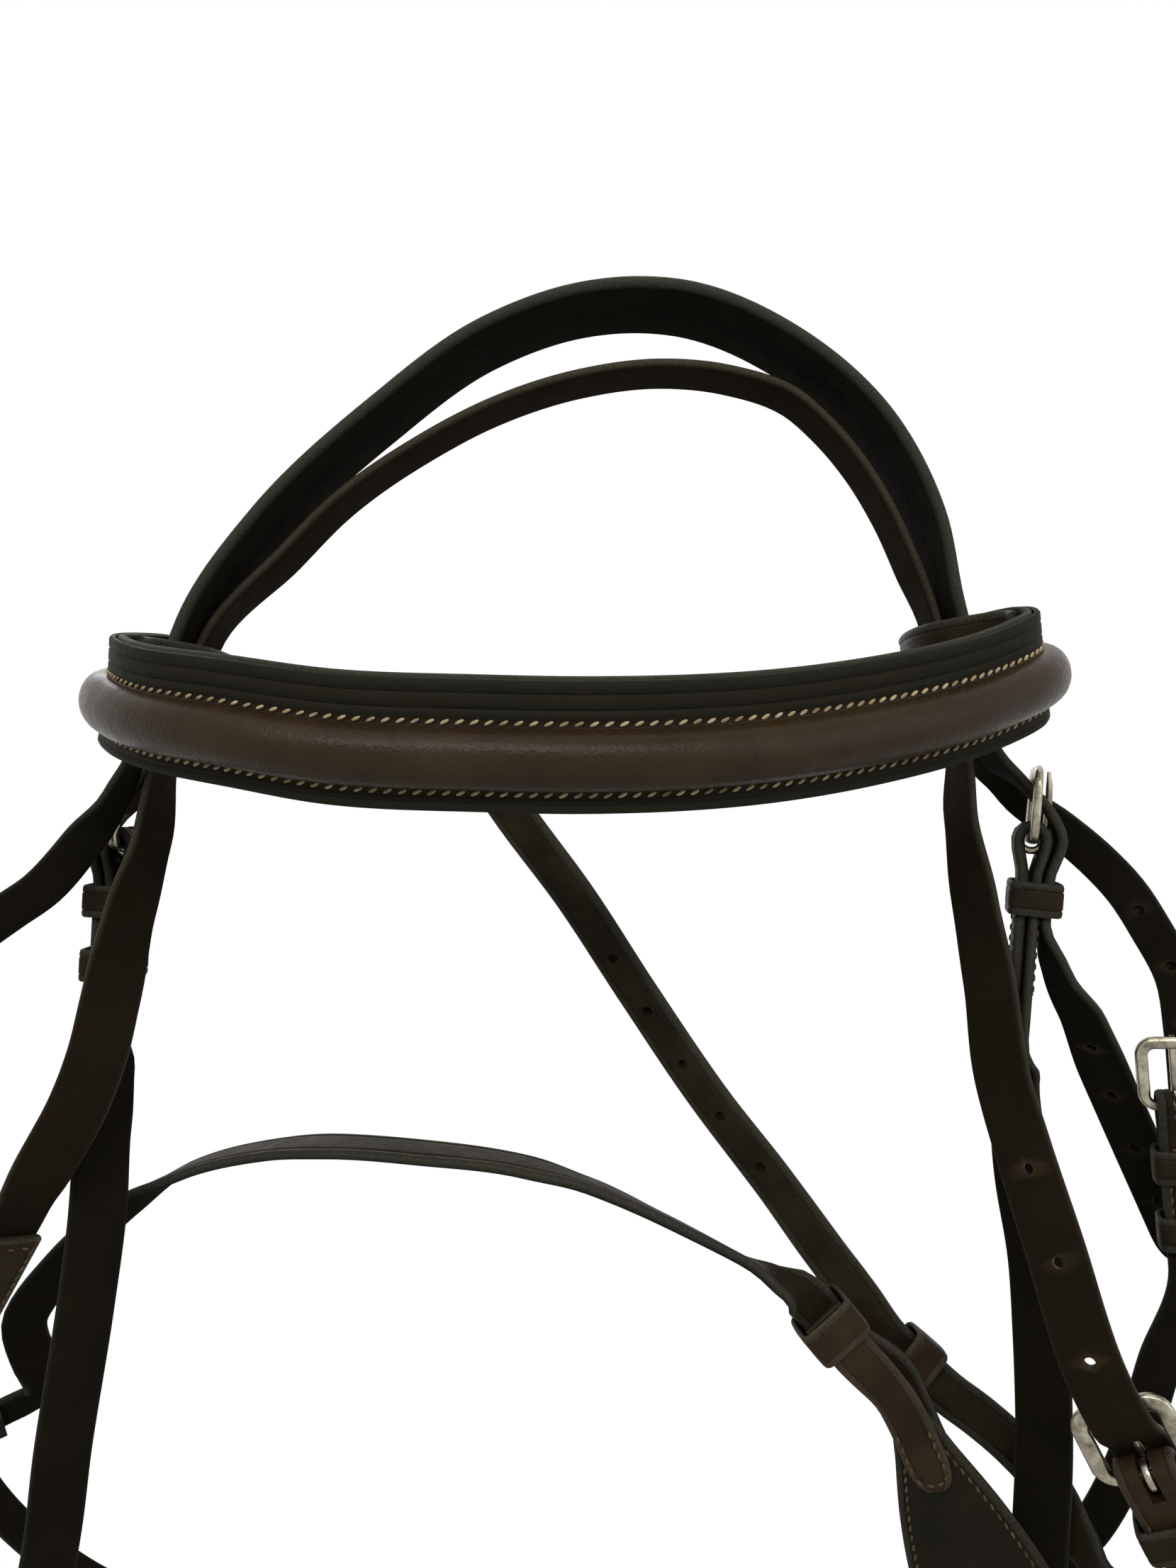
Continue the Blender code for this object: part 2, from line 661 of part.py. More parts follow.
def headstall():
    """The noseband's headstall: one strap from the off ring over the head to the near buckle."""
    stations, neck = ring_fold(ring_spot(OFF_RING, 0), HEADSTALL_LEATHER, HEADSTALL_WIDTH,
                               RING_FOLD, (-1, -0.5, 0))
    off_run_shares = (
        (-1.604, -0.20, -2.427, -0.85, -0.45, 0.28),
        (-1.53, -0.19, -2.29, -0.93, -0.25, 0.27), (-1.475, -0.17, -2.13, -0.93, -0.30, 0.20),
        (-1.45, -0.15, -1.996, -0.88, -0.42, 0.20), (-1.41, -0.11, -1.75, -0.60, -0.78, 0.15),
        (-1.365, -0.06, -1.543, -0.30, -0.95, 0.10))
    stations += stations_of(off_run_shares)
    inside = (CROWN_LEATHER + HEADSTALL_LEATHER) / 2 + RUNNING_GAP
    edge = BROWBAND_HEIGHT / 2 + RUNNING_GAP
    forward = Vector((0, -1, 0))
    levels = (-edge, HEADSTALL_LEATHER - edge, edge - HEADSTALL_LEATHER, edge)
    stations += [(LOOP_LEFT.at(0, up, -inside), forward) for up in levels]
    arch_shares = (
        (-0.985, 0, -0.72), (-0.83, 0, -0.565), (-0.59, 0, -0.398),
        (-0.39, 0, -0.293), (-0.13, 0, -0.208), (0.10, 0, -0.179), (0.30, 0, -0.198),
        (0.485, 0, -0.263), (0.572, 0, -0.338), (0.668, 0, -0.45), (0.757, 0, -0.595),
        (0.828, 0, -0.752))
    stations += [(spot(*row), forward + Vector((row[0], 0, 1)) * ARCH_TILT_SHARE)
                 for row in arch_shares]
    stations += [(LOOP_RIGHT.at(0, -up, -inside), forward) for up in levels]
    near_run_shares = (
        (0.965, -0.05, -1.47, 0.20, -0.97, 0),
        (0.992, -0.09, -1.71, 0.50, -0.85, 0.10), (1.022, -0.13, -1.946, 0.66, -0.74, 0.15),
        (1.052, -0.15, -2.212, 0.76, -0.62, 0.20), (1.084, -0.20, -2.369, 0.80, -0.54, 0.25),
        (1.138, -0.28, -2.604, 0.85, -0.42, 0.32))
    stations += stations_of(near_run_shares)
    billet = billet_stations(HEADSTALL_BUCKLE, HEADSTALL_LEATHER, HEADSTALL_LEATHER, NEAR_BILLET)
    above = HEADSTALL_BUCKLE.at(0, BUCKLE_LENGTH * 1.55, -fold_radius(HEADSTALL_LEATHER))
    stations += [(above, -HEADSTALL_BUCKLE.across)]
    stations += facing(billet, -HEADSTALL_BUCKLE.across)
    route = Route(stations)
    strap = ribbon("noseband_headstall", route, HEADSTALL_WIDTH, HEADSTALL_LEATHER,
                   point_end=True, necks=[route.run_near(neck)])
    finish_with(strap, BROWN_LEATHER)
    billet_slot("headstall", strap, HEADSTALL_BUCKLE)
    above_run = route.run_near(above)
    first = above_run - HEADSTALL_LEATHER * 2
    holes = [route.place(first - HEADSTALL_HOLE_PITCH * n) for n in range(3)]
    drill("headstall_holes", strap, holes, HEADSTALL_LEATHER)


def near_chape():
    """The short strap between the near ring and the headstall's buckle."""
    at_ring = ring_spot(NEAR_RING, 0)
    radius = ring_fold_radius(HEADSTALL_LEATHER, HEADSTALL_WIDTH)
    low = turned(fold_stations(at_ring, radius, HEADSTALL_LEATHER, FOLD_CLOSE, SHORT_FOLD - GAP,
                               run_on=False))
    high = fold_stations(HEADSTALL_BUCKLE, fold_radius(HEADSTALL_LEATHER), HEADSTALL_LEATHER,
                         FOLD_CLOSE, SHORT_FOLD - GAP, run_on=False)
    route = Route(facing(low + high, HEADSTALL_BUCKLE.across))
    strap = ribbon("near_noseband_chape", route, HEADSTALL_WIDTH, HEADSTALL_LEATHER,
                   necks=[route.run_near(at_ring.at(0, radius, 0))])
    finish_with(strap, BROWN_LEATHER)
    tongue_slot("headstall", strap, HEADSTALL_BUCKLE, HEADSTALL_LEATHER)


def cheekpiece(label, place, run_shares, foot_share):
    """A cheekpiece: turned round its buckle above, and up again as the bit loop below."""
    foot = Place(spot(*foot_share[:3]), foot_share[3:6], foot_share[6:9])
    top = fold_stations(place, fold_radius(CHEEK_LEATHER), CHEEK_LEATHER, FOLD_CLOSE, CHEEK_FOLD)
    stations = turned(top)
    stations += stations_of(run_shares)
    down = Place(foot.origin, -foot.up, foot.out)
    bottom = fold_stations(down, BIT_LOOP_RADIUS, CHEEK_LEATHER, FOLD_CLOSE * 2, BIT_LOOP_RETURN)
    stations += facing(bottom, stations[-1][1])
    strap = ribbon(f"{label}_cheekpiece", Route(stations), CHEEK_WIDTH, CHEEK_LEATHER,
                   point_end=True)
    finish_with(strap, DARK_LEATHER)
    tongue_slot(f"{label}_cheek", strap, place, CHEEK_LEATHER)
    stud = Place(down.at(0, -BIT_LOOP_RETURN + TIP_LENGTH, 0), down.up, down.out)
    drill(f"{label}_stud_hole", strap, [stud], 3 * CHEEK_LEATHER, STUD_SHANK + 2 * GAP)
    bit_stud(f"{label}_bit_stud", stud)


def bit_stud(name, place):
    """A hook stud: a flat foot, a shank through both leathers and a domed head."""
    stack = CHEEK_LEATHER * 2 + GAP
    low = stack / 2 + GAP
    profile = ((0, -low - STUD_HEAD_HEIGHT), (STUD_HEAD * 0.34, -low - STUD_HEAD_HEIGHT * 0.85),
               (STUD_HEAD / 2, -low - STUD_HEAD_HEIGHT * 0.4), (STUD_HEAD / 2, -low),
               (STUD_SHANK / 2, -low), (STUD_SHANK / 2, low), (STUD_HEAD / 2, low),
               (STUD_HEAD / 2, low + STUD_HEAD_HEIGHT * 0.4), (0, low + STUD_HEAD_HEIGHT * 0.4))
    bm = bmesh.new()
    sides = 12
    rings = []
    for radius, out in profile:
        if radius == 0:
            rings.append([bm.verts.new(place.at(0, 0, out))])
            continue
        rings.append([bm.verts.new(place.at(radius * math.cos(2 * math.pi * n / sides),
                                            radius * math.sin(2 * math.pi * n / sides), out))
                      for n in range(sides)])
    for low_ring, high_ring in zip(rings, rings[1:]):
        for n in range(sides):
            after = (n + 1) % sides
            if len(low_ring) == 1:
                bm.faces.new((low_ring[0], high_ring[n], high_ring[after]))
            elif len(high_ring) == 1:
                bm.faces.new((low_ring[n], low_ring[after], high_ring[0]))
            else:
                bm.faces.new((low_ring[n], low_ring[after], high_ring[after], high_ring[n]))
    bmesh.ops.recalc_face_normals(bm, faces=bm.faces)
    smooth(bm)
    finish_with(mesh_object(name, bm, PARTS), STEEL, metallic=1.0, roughness=0.32)


def nose_straps():
    """The two long straps that cross on the nose, and the jaw strap's two halves."""
    e_stations, e_neck = ring_fold(ring_spot(OFF_RING, -60), NOSE_LEATHER, NOSE_WIDTH,
                                   SHORT_FOLD, (0.8, 0.4, -0.5))
    e_shares = (
        (-1.845, 0.19, -3.02, 0.74, 0.42, -0.50), (-1.735, 0.21, -2.87, 0.74, 0.48, -0.48),
        (-1.57, 0.23, -2.71, 0.54, 0.76, -0.30), (-1.36, 0.20, -2.58, 0.22, 0.95, 0.06),
        (-1.058, 0.12, -2.486, 0.05, 0.99, 0.06), (-0.84, 0.01, -2.444, 0, 0.99, 0.12),
        (-0.60, -0.05, -2.442, 0, 0.99, 0.13), (-0.28, -0.10, -2.47, 0.03, 1, 0.05),
        (-0.11, -0.12, -2.514, 0.06, 0.97, -0.16), (0.115, -0.13, -2.613, 0.10, 0.94, -0.30),
        (0.324, -0.125, -2.724, 0.12, 0.92, -0.38),
        (0.44, -0.11, -2.795, 0.42, 0.88, -0.10), (0.53, -0.07, -2.868, 0.82, 0.24, 0.46),
        (0.62, -0.05, -2.975, 0.84, 0.05, 0.54))
    e_stations += stations_of(e_shares)
    behind = PAD_LEATHER / 2 + PASS_GAP + NOSE_LEATHER / 2
    for up_share, out in ((0.62, -NOSE_LEATHER / 2), (0.47, -behind), (0.34, -behind), (0, -behind)):
        e_stations += [(PAD.at(0, up_share * PAD_LENGTH, out), PAD.across)]
    e_stations += stations_of(((0.955, 0.08, -3.64, 0.95, -0.20, 0.1),))
    chin = fold_stations(CHIN, fold_radius(NOSE_LEATHER), NOSE_LEATHER, FOLD_CLOSE, FREE_FOLD)
    e_stations += facing(chin, (1, 0, 0))
    e_route = Route(e_stations)
    e_strap = ribbon("off_nose_strap", e_route, NOSE_WIDTH, NOSE_LEATHER,
                     necks=[e_route.run_near(e_neck)])
    finish_with(e_strap, DARK_LEATHER)
    tongue_slot("chin", e_strap, CHIN, NOSE_LEATHER)

    f_stations, f_neck = ring_fold(ring_spot(NEAR_RING, 76, 52), NOSE_LEATHER, NOSE_WIDTH,
                                   SHORT_FOLD, (0, 0, 1))
    f_shares = (
        (1.345, 0.04, -3.62, 0.10, 0.15, 0.95), (1.28, 0.125, -3.50, 0.35, 0.25, 0.85),
        (1.19, 0.135, -3.40, 0.50, 0.20, 0.80),
        (1.07, 0.115, -3.29, 0.60, 0.15, 0.78), (0.97, 0.095, -3.21, 0.66, 0.10, 0.74),
        (0.883, 0.088, -3.13, 0.70, 0.08, 0.71), (0.797, 0.080, -3.05, 0.72, 0.08, 0.70),
        (0.697, 0.06, -2.91, 0.76, 0.08, 0.64),
        (0.592, 0.055, -2.77, 0.77, -0.10, 0.62), (0.445, 0.06, -2.568, 0.75, -0.30, 0.58),
        (0.253, 0.07, -2.32, 0.73, -0.40, 0.55), (0.039, 0.07, -2.005, 0.74, -0.42, 0.52),
        (-0.155, 0.05, -1.706, 0.73, -0.40, 0.55), (-0.323, 0.03, -1.478, 0.70, -0.36, 0.60),
        (-0.445, 0, -1.295, 0.70, -0.34, 0.62))
    f_stations += stations_of(f_shares)
    f_route = Route(f_stations)
    f_strap = ribbon("near_nose_strap", f_route, NOSE_WIDTH, NOSE_LEATHER, point_end=True,
                     necks=[f_route.run_near(f_neck)])
    finish_with(f_strap, DARK_LEATHER)
    first = f_route.length - HOLE_PITCH * NOSE_FIRST_HOLE_SHARE
    holes = [f_route.place(first - HOLE_PITCH * n) for n in range(5)]
    drill("nose_strap_holes", f_strap, holes, NOSE_LEATHER)

    billet, billet_neck = ring_fold(ring_spot(NEAR_RING, 165, 40), NOSE_LEATHER, NOSE_WIDTH,
                                    SHORT_FOLD, (1, 0, 0))
    jaw_billet_shares = (
        (1.72, 0.00, -4.10, 0.90, -0.20, 0.20), (1.60, 0.35, -4.26, 0.70, 0.50, 0.35))
    billet += stations_of(jaw_billet_shares)
    done_up = billet_stations(JAW, NOSE_LEATHER, NOSE_LEATHER, JAW_BILLET)
    billet += facing(done_up, (0.7, 0.5, 0.4))
    billet_route = Route(billet)
    jaw_billet = ribbon("jaw_strap_billet", billet_route, NOSE_WIDTH, NOSE_LEATHER,
                        point_end=True, necks=[billet_route.run_near(billet_neck)])
    finish_with(jaw_billet, DARK_LEATHER)
    billet_slot("jaw", jaw_billet, JAW)

    long_half, jaw_neck = ring_fold(ring_spot(OFF_RING, -165), NOSE_LEATHER, NOSE_WIDTH,
                                    SHORT_FOLD, (-0.5, -0.8, 0))
    jaw_shares = (
        (-2.24, 0.30, -3.95, -0.55, -0.75, -0.2), (-2.13, 0.52, -4.24, -0.40, -0.75, -0.5),
        (-1.78, 0.78, -4.50, -0.2, -0.7, -0.7), (-1.15, 0.97, -4.66, 0, -0.7, -0.7),
        (-0.45, 1.10, -4.74, 0, -0.7, -0.7), (0.25, 1.08, -4.74, 0, -0.7, -0.7))
    long_half += stations_of(jaw_shares)
    jaw_fold = fold_stations(JAW, fold_radius(NOSE_LEATHER), NOSE_LEATHER, FOLD_CLOSE, FREE_FOLD)
    long_half += facing(jaw_fold, (0, -0.7, -0.7))
    jaw_route = Route(long_half)
    jaw_strap = ribbon("jaw_strap", jaw_route, NOSE_WIDTH, NOSE_LEATHER,
                       necks=[jaw_route.run_near(jaw_neck)])
    finish_with(jaw_strap, DARK_LEATHER)
    tongue_slot("jaw", jaw_strap, JAW, NOSE_LEATHER)
    return e_route, f_route


def crossover(e_route, f_route):
    """The leaf pad on the nose, the sewn tab on its face, and the two sleeves on the tab."""
    outline_shares = ((0, 0.50), (0.24, 0.43), (0.45, 0.27), (0.72, 0.05), (0.92, -0.18),
                      (1.00, -0.34), (0.90, -0.46), (0.55, -0.50))
    half = [(x * PAD_WIDTH / 2, y * PAD_LENGTH) for x, y in outline_shares]
    outline = half + [(-x, y) for x, y in reversed(half[1:])]
    curve = bpy.data.curves.new("nose_pad", "CURVE")
    curve.dimensions = "2D"
    curve.fill_mode = "BOTH"
    curve.extrude = PAD_LEATHER / 2
    spline = curve.splines.new("POLY")
    spline.points.add(len(outline) - 1)
    for target, (x, y) in zip(spline.points, outline):
        target.co = (x, y, 0, 1)
    spline.use_cyclic_u = True
    pad = add_object("nose_pad", curve, PARTS)
    pad.matrix_world = PAD.matrix()
    finish_with(pad, BROWN_LEATHER)

    face = PAD_LEATHER / 2 + GAP + TAB_LEATHER / 2
    tab_stations = [(PAD.at(0, PAD_LENGTH * TAB_FOOT_SHARE, face), PAD.across),
                    (PAD.at(0, PAD_LENGTH * 0.42, face), PAD.across),
                    (PAD.at(0, PAD_LENGTH * 0.50, face + PASS_GAP), PAD.across)]
    e_at = e_route.place(e_route.run_near(spot(0.59, -0.06, -2.93)))
    before = -(NOSE_LEATHER / 2 + PASS_GAP + TAB_LEATHER / 2)
    tab_stations += [(e_at.at(0, CROSS_KEEPER_LENGTH * 0.6, before), e_at.across),
                     (e_at.at(0, -CROSS_KEEPER_LENGTH * 0.4, before), e_at.across)]
    tab = ribbon("crossover_tab", Route(tab_stations), TAB_WIDTH, TAB_LEATHER, point_start=True)
    finish_with(tab, BROWN_LEATHER)

    keeper("nose_sleeve_upper", e_at, TAB_WIDTH, -K1_FRONT, K1_BACK, CROSS_KEEPER_LENGTH,
           BROWN_LEATHER)
    f_at = f_route.place(f_route.run_near(spot(0.87, 0.04, -3.11)))
    keeper("nose_sleeve_lower", f_at, NOSE_WIDTH, -K2_DEPTH / 2, K2_DEPTH / 2,
           CROSS_KEEPER_LENGTH, BROWN_LEATHER)


def browband():
    """The browband's backing with a loop at each end, and the padded cover on its face."""
    inner = CROWN_LEATHER / 2 + RUNNING_GAP + BACKING_LEATHER / 2
    stack = (CROWN_LEATHER / 2 + HEADSTALL_LEATHER + 2 * RUNNING_GAP + RUNNING_GAP
             + BACKING_LEATHER / 2)
    back_edge = CROWN_WIDTH / 2 + RUNNING_GAP
    front_shares = (
        (-1.355, -0.28, -1.12, 0.31, -0.28, 0.91), (-1.27, -0.52, -1.16, 0.22, -0.40, 0.89),
        (-1.112, -0.72, -1.205, 0.14, -0.40, 0.91), (-0.90, -0.85, -1.241, 0.07, -0.34, 0.94),
        (-0.66, -0.92, -1.279, 0.03, -0.30, 0.95), (-0.34, -0.945, -1.294, 0, -0.30, 0.95),
        (-0.11, -0.945, -1.298, 0, -0.30, 0.95), (0.23, -0.88, -1.282, -0.03, -0.29, 0.95),
        (0.52, -0.76, -1.24, -0.07, -0.27, 0.95), (0.83, -0.60, -1.164, -0.12, -0.28, 0.95),
        (1.03, -0.42, -1.084, -0.18, -0.26, 0.94), (1.075, -0.24, -1.045, -0.22, -0.15, 0.96))
    back = Vector((0, 1, 0))

    face = [(LOOP_LEFT.at(0, 0, inner), LOOP_LEFT.up)] + stations_of(front_shares)
    face += [(LOOP_RIGHT.at(0, 0, inner), LOOP_RIGHT.up)]
    cover_route = Route(face)

    def end_loop(loop, seams):
        """From the face at the crown, round behind it and forward to the seam."""
        middle = (inner - stack) / 2
        radius = (inner + stack) / 2
        rows = []
        for step in range(FOLD_ARC_STEPS + 1):
            angle = math.pi * step / FOLD_ARC_STEPS
            rows.append((loop.at(0, 0, middle + radius * math.cos(angle))
                         + back * (back_edge + radius * math.sin(angle)), loop.up))
        rows.append((loop.at(0, 0, -stack) - back * back_edge, loop.up))
        for run in seams:
            here = cover_route.place(run)
            rows.append((here.at(0, 0, BACKING_LEATHER + PASS_GAP), here.across))
        return rows

    seam = (LOOP_RETURN, LOOP_RETURN + LOOP_SEAM / 2, LOOP_RETURN + LOOP_SEAM)
    left_end = turned(end_loop(LOOP_LEFT, seam))
    right_end = end_loop(LOOP_RIGHT, [cover_route.length - run for run in seam])
    route = Route(left_end + face + right_end)
    backing = ribbon("browband_backing", route, BROWBAND_HEIGHT, BACKING_LEATHER)
    finish_with(backing, DARK_LEATHER)
    first, last = route.run_of(len(left_end)), route.run_of(len(left_end) + len(face) - 1)

    half = BROWBAND_HEIGHT / 2 - GAP
    base = BACKING_LEATHER / 2 + GAP
    flange = base + FLANGE_LEATHER
    profile = [(-half, base), (-half, flange)]
    for step in range(7):
        angle = math.pi * step / 6
        across = ROLL_SHIFT - ROLL_WIDTH / 2 * math.cos(angle)
        profile.append((across, flange + ROLL_RISE * math.sin(angle)))
    profile += [(half, flange), (half, base)]
    bm = bmesh.new()
    rings = []
    for run in route.runs:
        if first <= run <= last:
            here = route.place(run)
            rings.append([bm.verts.new(here.at(-side, 0, -rise)) for side, rise in profile])
    count = len(profile)
    for low, high in zip(rings, rings[1:]):
        for index in range(count):
            after = (index + 1) % count
            bm.faces.new((low[index], low[after], high[after], high[index]))
    bm.faces.new(rings[0])
    bm.faces.new(rings[-1])
    bmesh.ops.recalc_face_normals(bm, faces=bm.faces)
    cover = mesh_object("browband_padded_cover", bm, PARTS)
    finish_with(cover, PADDED_LEATHER)


def hardware():
    """Every buckle, ring and keeper."""
    buckle("near_cheek", NEAR_CHEEK, CHEEK_WIDTH)
    buckle("off_cheek", OFF_CHEEK, CHEEK_WIDTH)
    buckle("headstall", HEADSTALL_BUCKLE, HEADSTALL_WIDTH)
    buckle("throat", THROAT, THROAT_WIDTH)
    buckle("jaw", JAW, NOSE_WIDTH)
    buckle("chin", CHIN, NOSE_WIDTH)
    ring("near_noseband_ring", NEAR_RING)
    ring("off_noseband_ring", OFF_RING)

    def stack(leather, billet):
        low = -(leather + GAP / 2)
        high = leather + GAP / 2
        return low, high + (2 * GAP + billet if billet else 0)

    def along(place, down):
        return Place(place.at(0, -down, 0), place.up, place.out)

    first = FOLD_CLOSE + KEEPER_LENGTH / 2
    second = first + 2 * KEEPER_LENGTH
    low, high = stack(CHEEK_LEATHER, CHEEK_LEATHER)
    keeper("near_cheek_keeper", along(NEAR_CHEEK, first), CHEEK_WIDTH, low, high)
    keeper("off_cheek_keeper", along(OFF_CHEEK, first), CHEEK_WIDTH, low, high)
    keeper("off_cheek_runner", along(OFF_CHEEK, second), CHEEK_WIDTH, low, high)
    keeper("headstall_keeper", along(HEADSTALL_BUCKLE, first), HEADSTALL_WIDTH, low, high)
    low, high = stack(NOSE_LEATHER, NOSE_LEATHER)
    keeper("jaw_keeper", along(JAW, first), NOSE_WIDTH, low, high)
    keeper("jaw_runner", along(JAW, second), NOSE_WIDTH, low, high)
    low, high = stack(NOSE_LEATHER, 0)
    keeper("chin_keeper", along(CHIN, first), NOSE_WIDTH, low, high)
    keeper("chin_runner", along(CHIN, second), NOSE_WIDTH, low, high)
    low, high = stack(THROAT_LEATHER, 0)
    keeper("throat_keeper", along(THROAT, first), THROAT_WIDTH, low, high)
    keeper("throat_runner", along(THROAT, second), THROAT_WIDTH, low, high)


def bridle():
    headpiece()
    headstall()
    near_chape()
    near_run_shares = (
        (1.138, -0.02, -2.20, -0.45, 0.88, 0),
        (1.165, 0.01, -2.53, -0.85, 0.50, 0), (1.21, 0.02, -2.79, -0.87, 0.48, 0),
        (1.22, 0.01, -3.00, -0.87, 0.48, 0), (1.225, 0, -3.27, -0.87, 0.48, 0))
    cheekpiece("near", NEAR_CHEEK, near_run_shares,
               (1.215, 0, -4.37, -0.02, 0, 1, 0.48, 0.87, 0))
    off_run_shares = (
        (-1.525, 0.06, -2.22, -0.35, -0.90, 0), (-1.53, 0.0, -2.40, -0.75, -0.62, 0),
        (-1.525, -0.05, -2.62, -0.85, -0.50, 0), (-1.56, -0.05, -2.89, -0.85, -0.50, 0),
        (-1.63, -0.04, -3.31, -0.85, -0.50, 0))
    cheekpiece("off", OFF_CHEEK, off_run_shares,
               (-1.77, 0, -4.14, 0.17, 0, 0.985, -0.50, 0.85, 0.08))
    e_route, f_route = nose_straps()
    crossover(e_route, f_route)
    browband()
    hardware()


bridle()
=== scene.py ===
"""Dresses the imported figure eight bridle: sewn leather straps, steel buckles and a padded browband.

Every strap follows the same route as its solid. The routes come from the part's own tables of
shares and from its sizes in metres, and the leather, its creases, its stitches and its holes are
modelled on them. The photograph's camera is level, 0.345 m in front of the crown.
"""
import json
import math

import bpy
from bpy.props import FloatProperty, FloatVectorProperty, PointerProperty
from bpy.types import Operator, Panel, PropertyGroup
from mathutils import Matrix, Vector


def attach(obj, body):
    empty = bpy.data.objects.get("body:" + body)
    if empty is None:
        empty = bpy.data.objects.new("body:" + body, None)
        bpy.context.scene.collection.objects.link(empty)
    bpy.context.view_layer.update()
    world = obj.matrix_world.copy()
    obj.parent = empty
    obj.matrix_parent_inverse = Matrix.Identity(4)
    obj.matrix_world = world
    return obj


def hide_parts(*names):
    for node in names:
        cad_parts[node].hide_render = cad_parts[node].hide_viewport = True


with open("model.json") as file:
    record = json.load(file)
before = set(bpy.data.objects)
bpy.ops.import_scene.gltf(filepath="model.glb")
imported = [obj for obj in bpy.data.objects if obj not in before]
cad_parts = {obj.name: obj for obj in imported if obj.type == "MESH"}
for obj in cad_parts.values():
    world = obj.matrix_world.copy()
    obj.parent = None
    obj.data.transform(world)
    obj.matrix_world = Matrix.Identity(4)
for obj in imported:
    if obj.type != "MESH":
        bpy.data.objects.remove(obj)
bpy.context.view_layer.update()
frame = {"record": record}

bl_info = {
    "name": "Figure eight bridle",
    "version": (1, 0, 0),
    "blender": (4, 5, 0),
    "location": "3D View > Sidebar > Bridle",
    "description": "Builds the leather, stitching, padding and steel of a figure eight bridle",
    "category": "Object",
}


# The three sizes that every free route follows
ARCH_HALF_WIDTH = 0.100
BROWBAND_REACH = 0.100
ARCH_HEIGHT = 0.100

# Strap widths
CROWN_WIDTH = 0.034
CHEEK_WIDTH = 0.016
HEADSTALL_WIDTH = 0.016
NOSE_WIDTH = 0.013
THROAT_WIDTH = 0.012
SPLIT_INSET = 0.0003
SPLIT_LAP = 0.012
NECK_SHARE = 0.74
NECK_REACH = 0.013
NECK_RAMP = 0.012

# Leather thickness
CROWN_LEATHER = 0.004
CHEEK_LEATHER = 0.003
HEADSTALL_LEATHER = 0.003
NOSE_LEATHER = 0.003
THROAT_LEATHER = 0.0026
KEEPER_LEATHER = 0.0016

# Browband
BROWBAND_HEIGHT = 0.030
BACKING_LEATHER = 0.0026
FLANGE_LEATHER = 0.0014
ROLL_WIDTH = 0.0136
ROLL_SHIFT = 0.0024
ROLL_RISE = 0.0062
LOOP_RETURN = 0.033
LOOP_SEAM = 0.010

# Buckles, rings and studs
BUCKLE_WIRE = 0.0032
BUCKLE_LENGTH = 0.018
BUCKLE_SIDE_GAP = 0.0012
BUCKLE_CORNER = 0.0035
TONGUE_WIRE = 0.0024
TONGUE_OVERRUN = 0.0016
TONGUE_HOLE_SHARES = (0.46, 0.86)
RING_RADIUS = 0.016
RING_WIRE = 0.0044
STUD_SHANK = 0.0030
STUD_HEAD = 0.0070
STUD_HEAD_HEIGHT = 0.0026

# Strap ends, holes and keepers
TIP_LENGTH = 0.011
HOLE = 0.0030
HOLE_PITCH = 0.019
HEADSTALL_HOLE_PITCH = 0.0245
FIRST_HOLE_SHARE = 1.2
NOSE_FIRST_HOLE_SHARE = 3.85
# The headstall leans back a little over the poll
ARCH_TILT_SHARE = 0.10
KEEPER_LENGTH = 0.0095
KEEPER_CORNER = 0.0010
CHEEK_FOLD = 0.046
RING_FOLD = 0.080
SHORT_FOLD = 0.0175
FREE_FOLD = 0.040
OFF_BILLET = 0.048
NEAR_BILLET = 0.024
JAW_BILLET = 0.050
FOLD_CLOSE = 0.0120
FOLD_ARC_STEPS = 6
FLAT_SHARE = 1.3

# Nose crossover
PAD_LENGTH = 0.078
PAD_WIDTH = 0.043
PAD_LEATHER = 0.003
TAB_WIDTH = 0.0130
TAB_LEATHER = 0.0022
K1_FRONT = 0.0058
K1_BACK = 0.0034
K2_DEPTH = 0.0062
CROSS_KEEPER_LENGTH = 0.0120
TAB_FOOT_SHARE = 0.16

# Bit loops at the foot of the cheekpieces
BIT_LOOP_RADIUS = 0.0070
BIT_LOOP_RETURN = 0.044

# Clearances and modelling steps
GAP = 0.0004
RUNNING_GAP = 0.0006
PASS_GAP = 0.0011
SAMPLE_STEP = 0.0034
CUT_OVERRUN = 0.004


class Place:
    """A flat spot: its origin, and the directions up the strap, out from the horse and across."""

    def __init__(self, origin, up, out):
        self.origin = Vector(origin)
        self.up = Vector(up).normalized()
        self.out = Vector(out)
        self.out = (self.out - self.up * self.out.dot(self.up)).normalized()
        self.across = self.up.cross(self.out)

    def at(self, across, up, out):
        return self.origin + self.across * across + self.up * up + self.out * out

    def matrix(self):
        turn = Matrix((self.across, self.up, self.out)).transposed().to_4x4()
        return Matrix.Translation(self.origin) @ turn


def spot(x_share, y_share, z_share):
    """A point in shares of the arch's half width, the browband's reach and the arch's height."""
    return Vector((x_share * ARCH_HALF_WIDTH, y_share * BROWBAND_REACH, z_share * ARCH_HEIGHT))


def stations_of(shares):
    return [(spot(*row[:3]), Vector(row[3:]).normalized()) for row in shares]


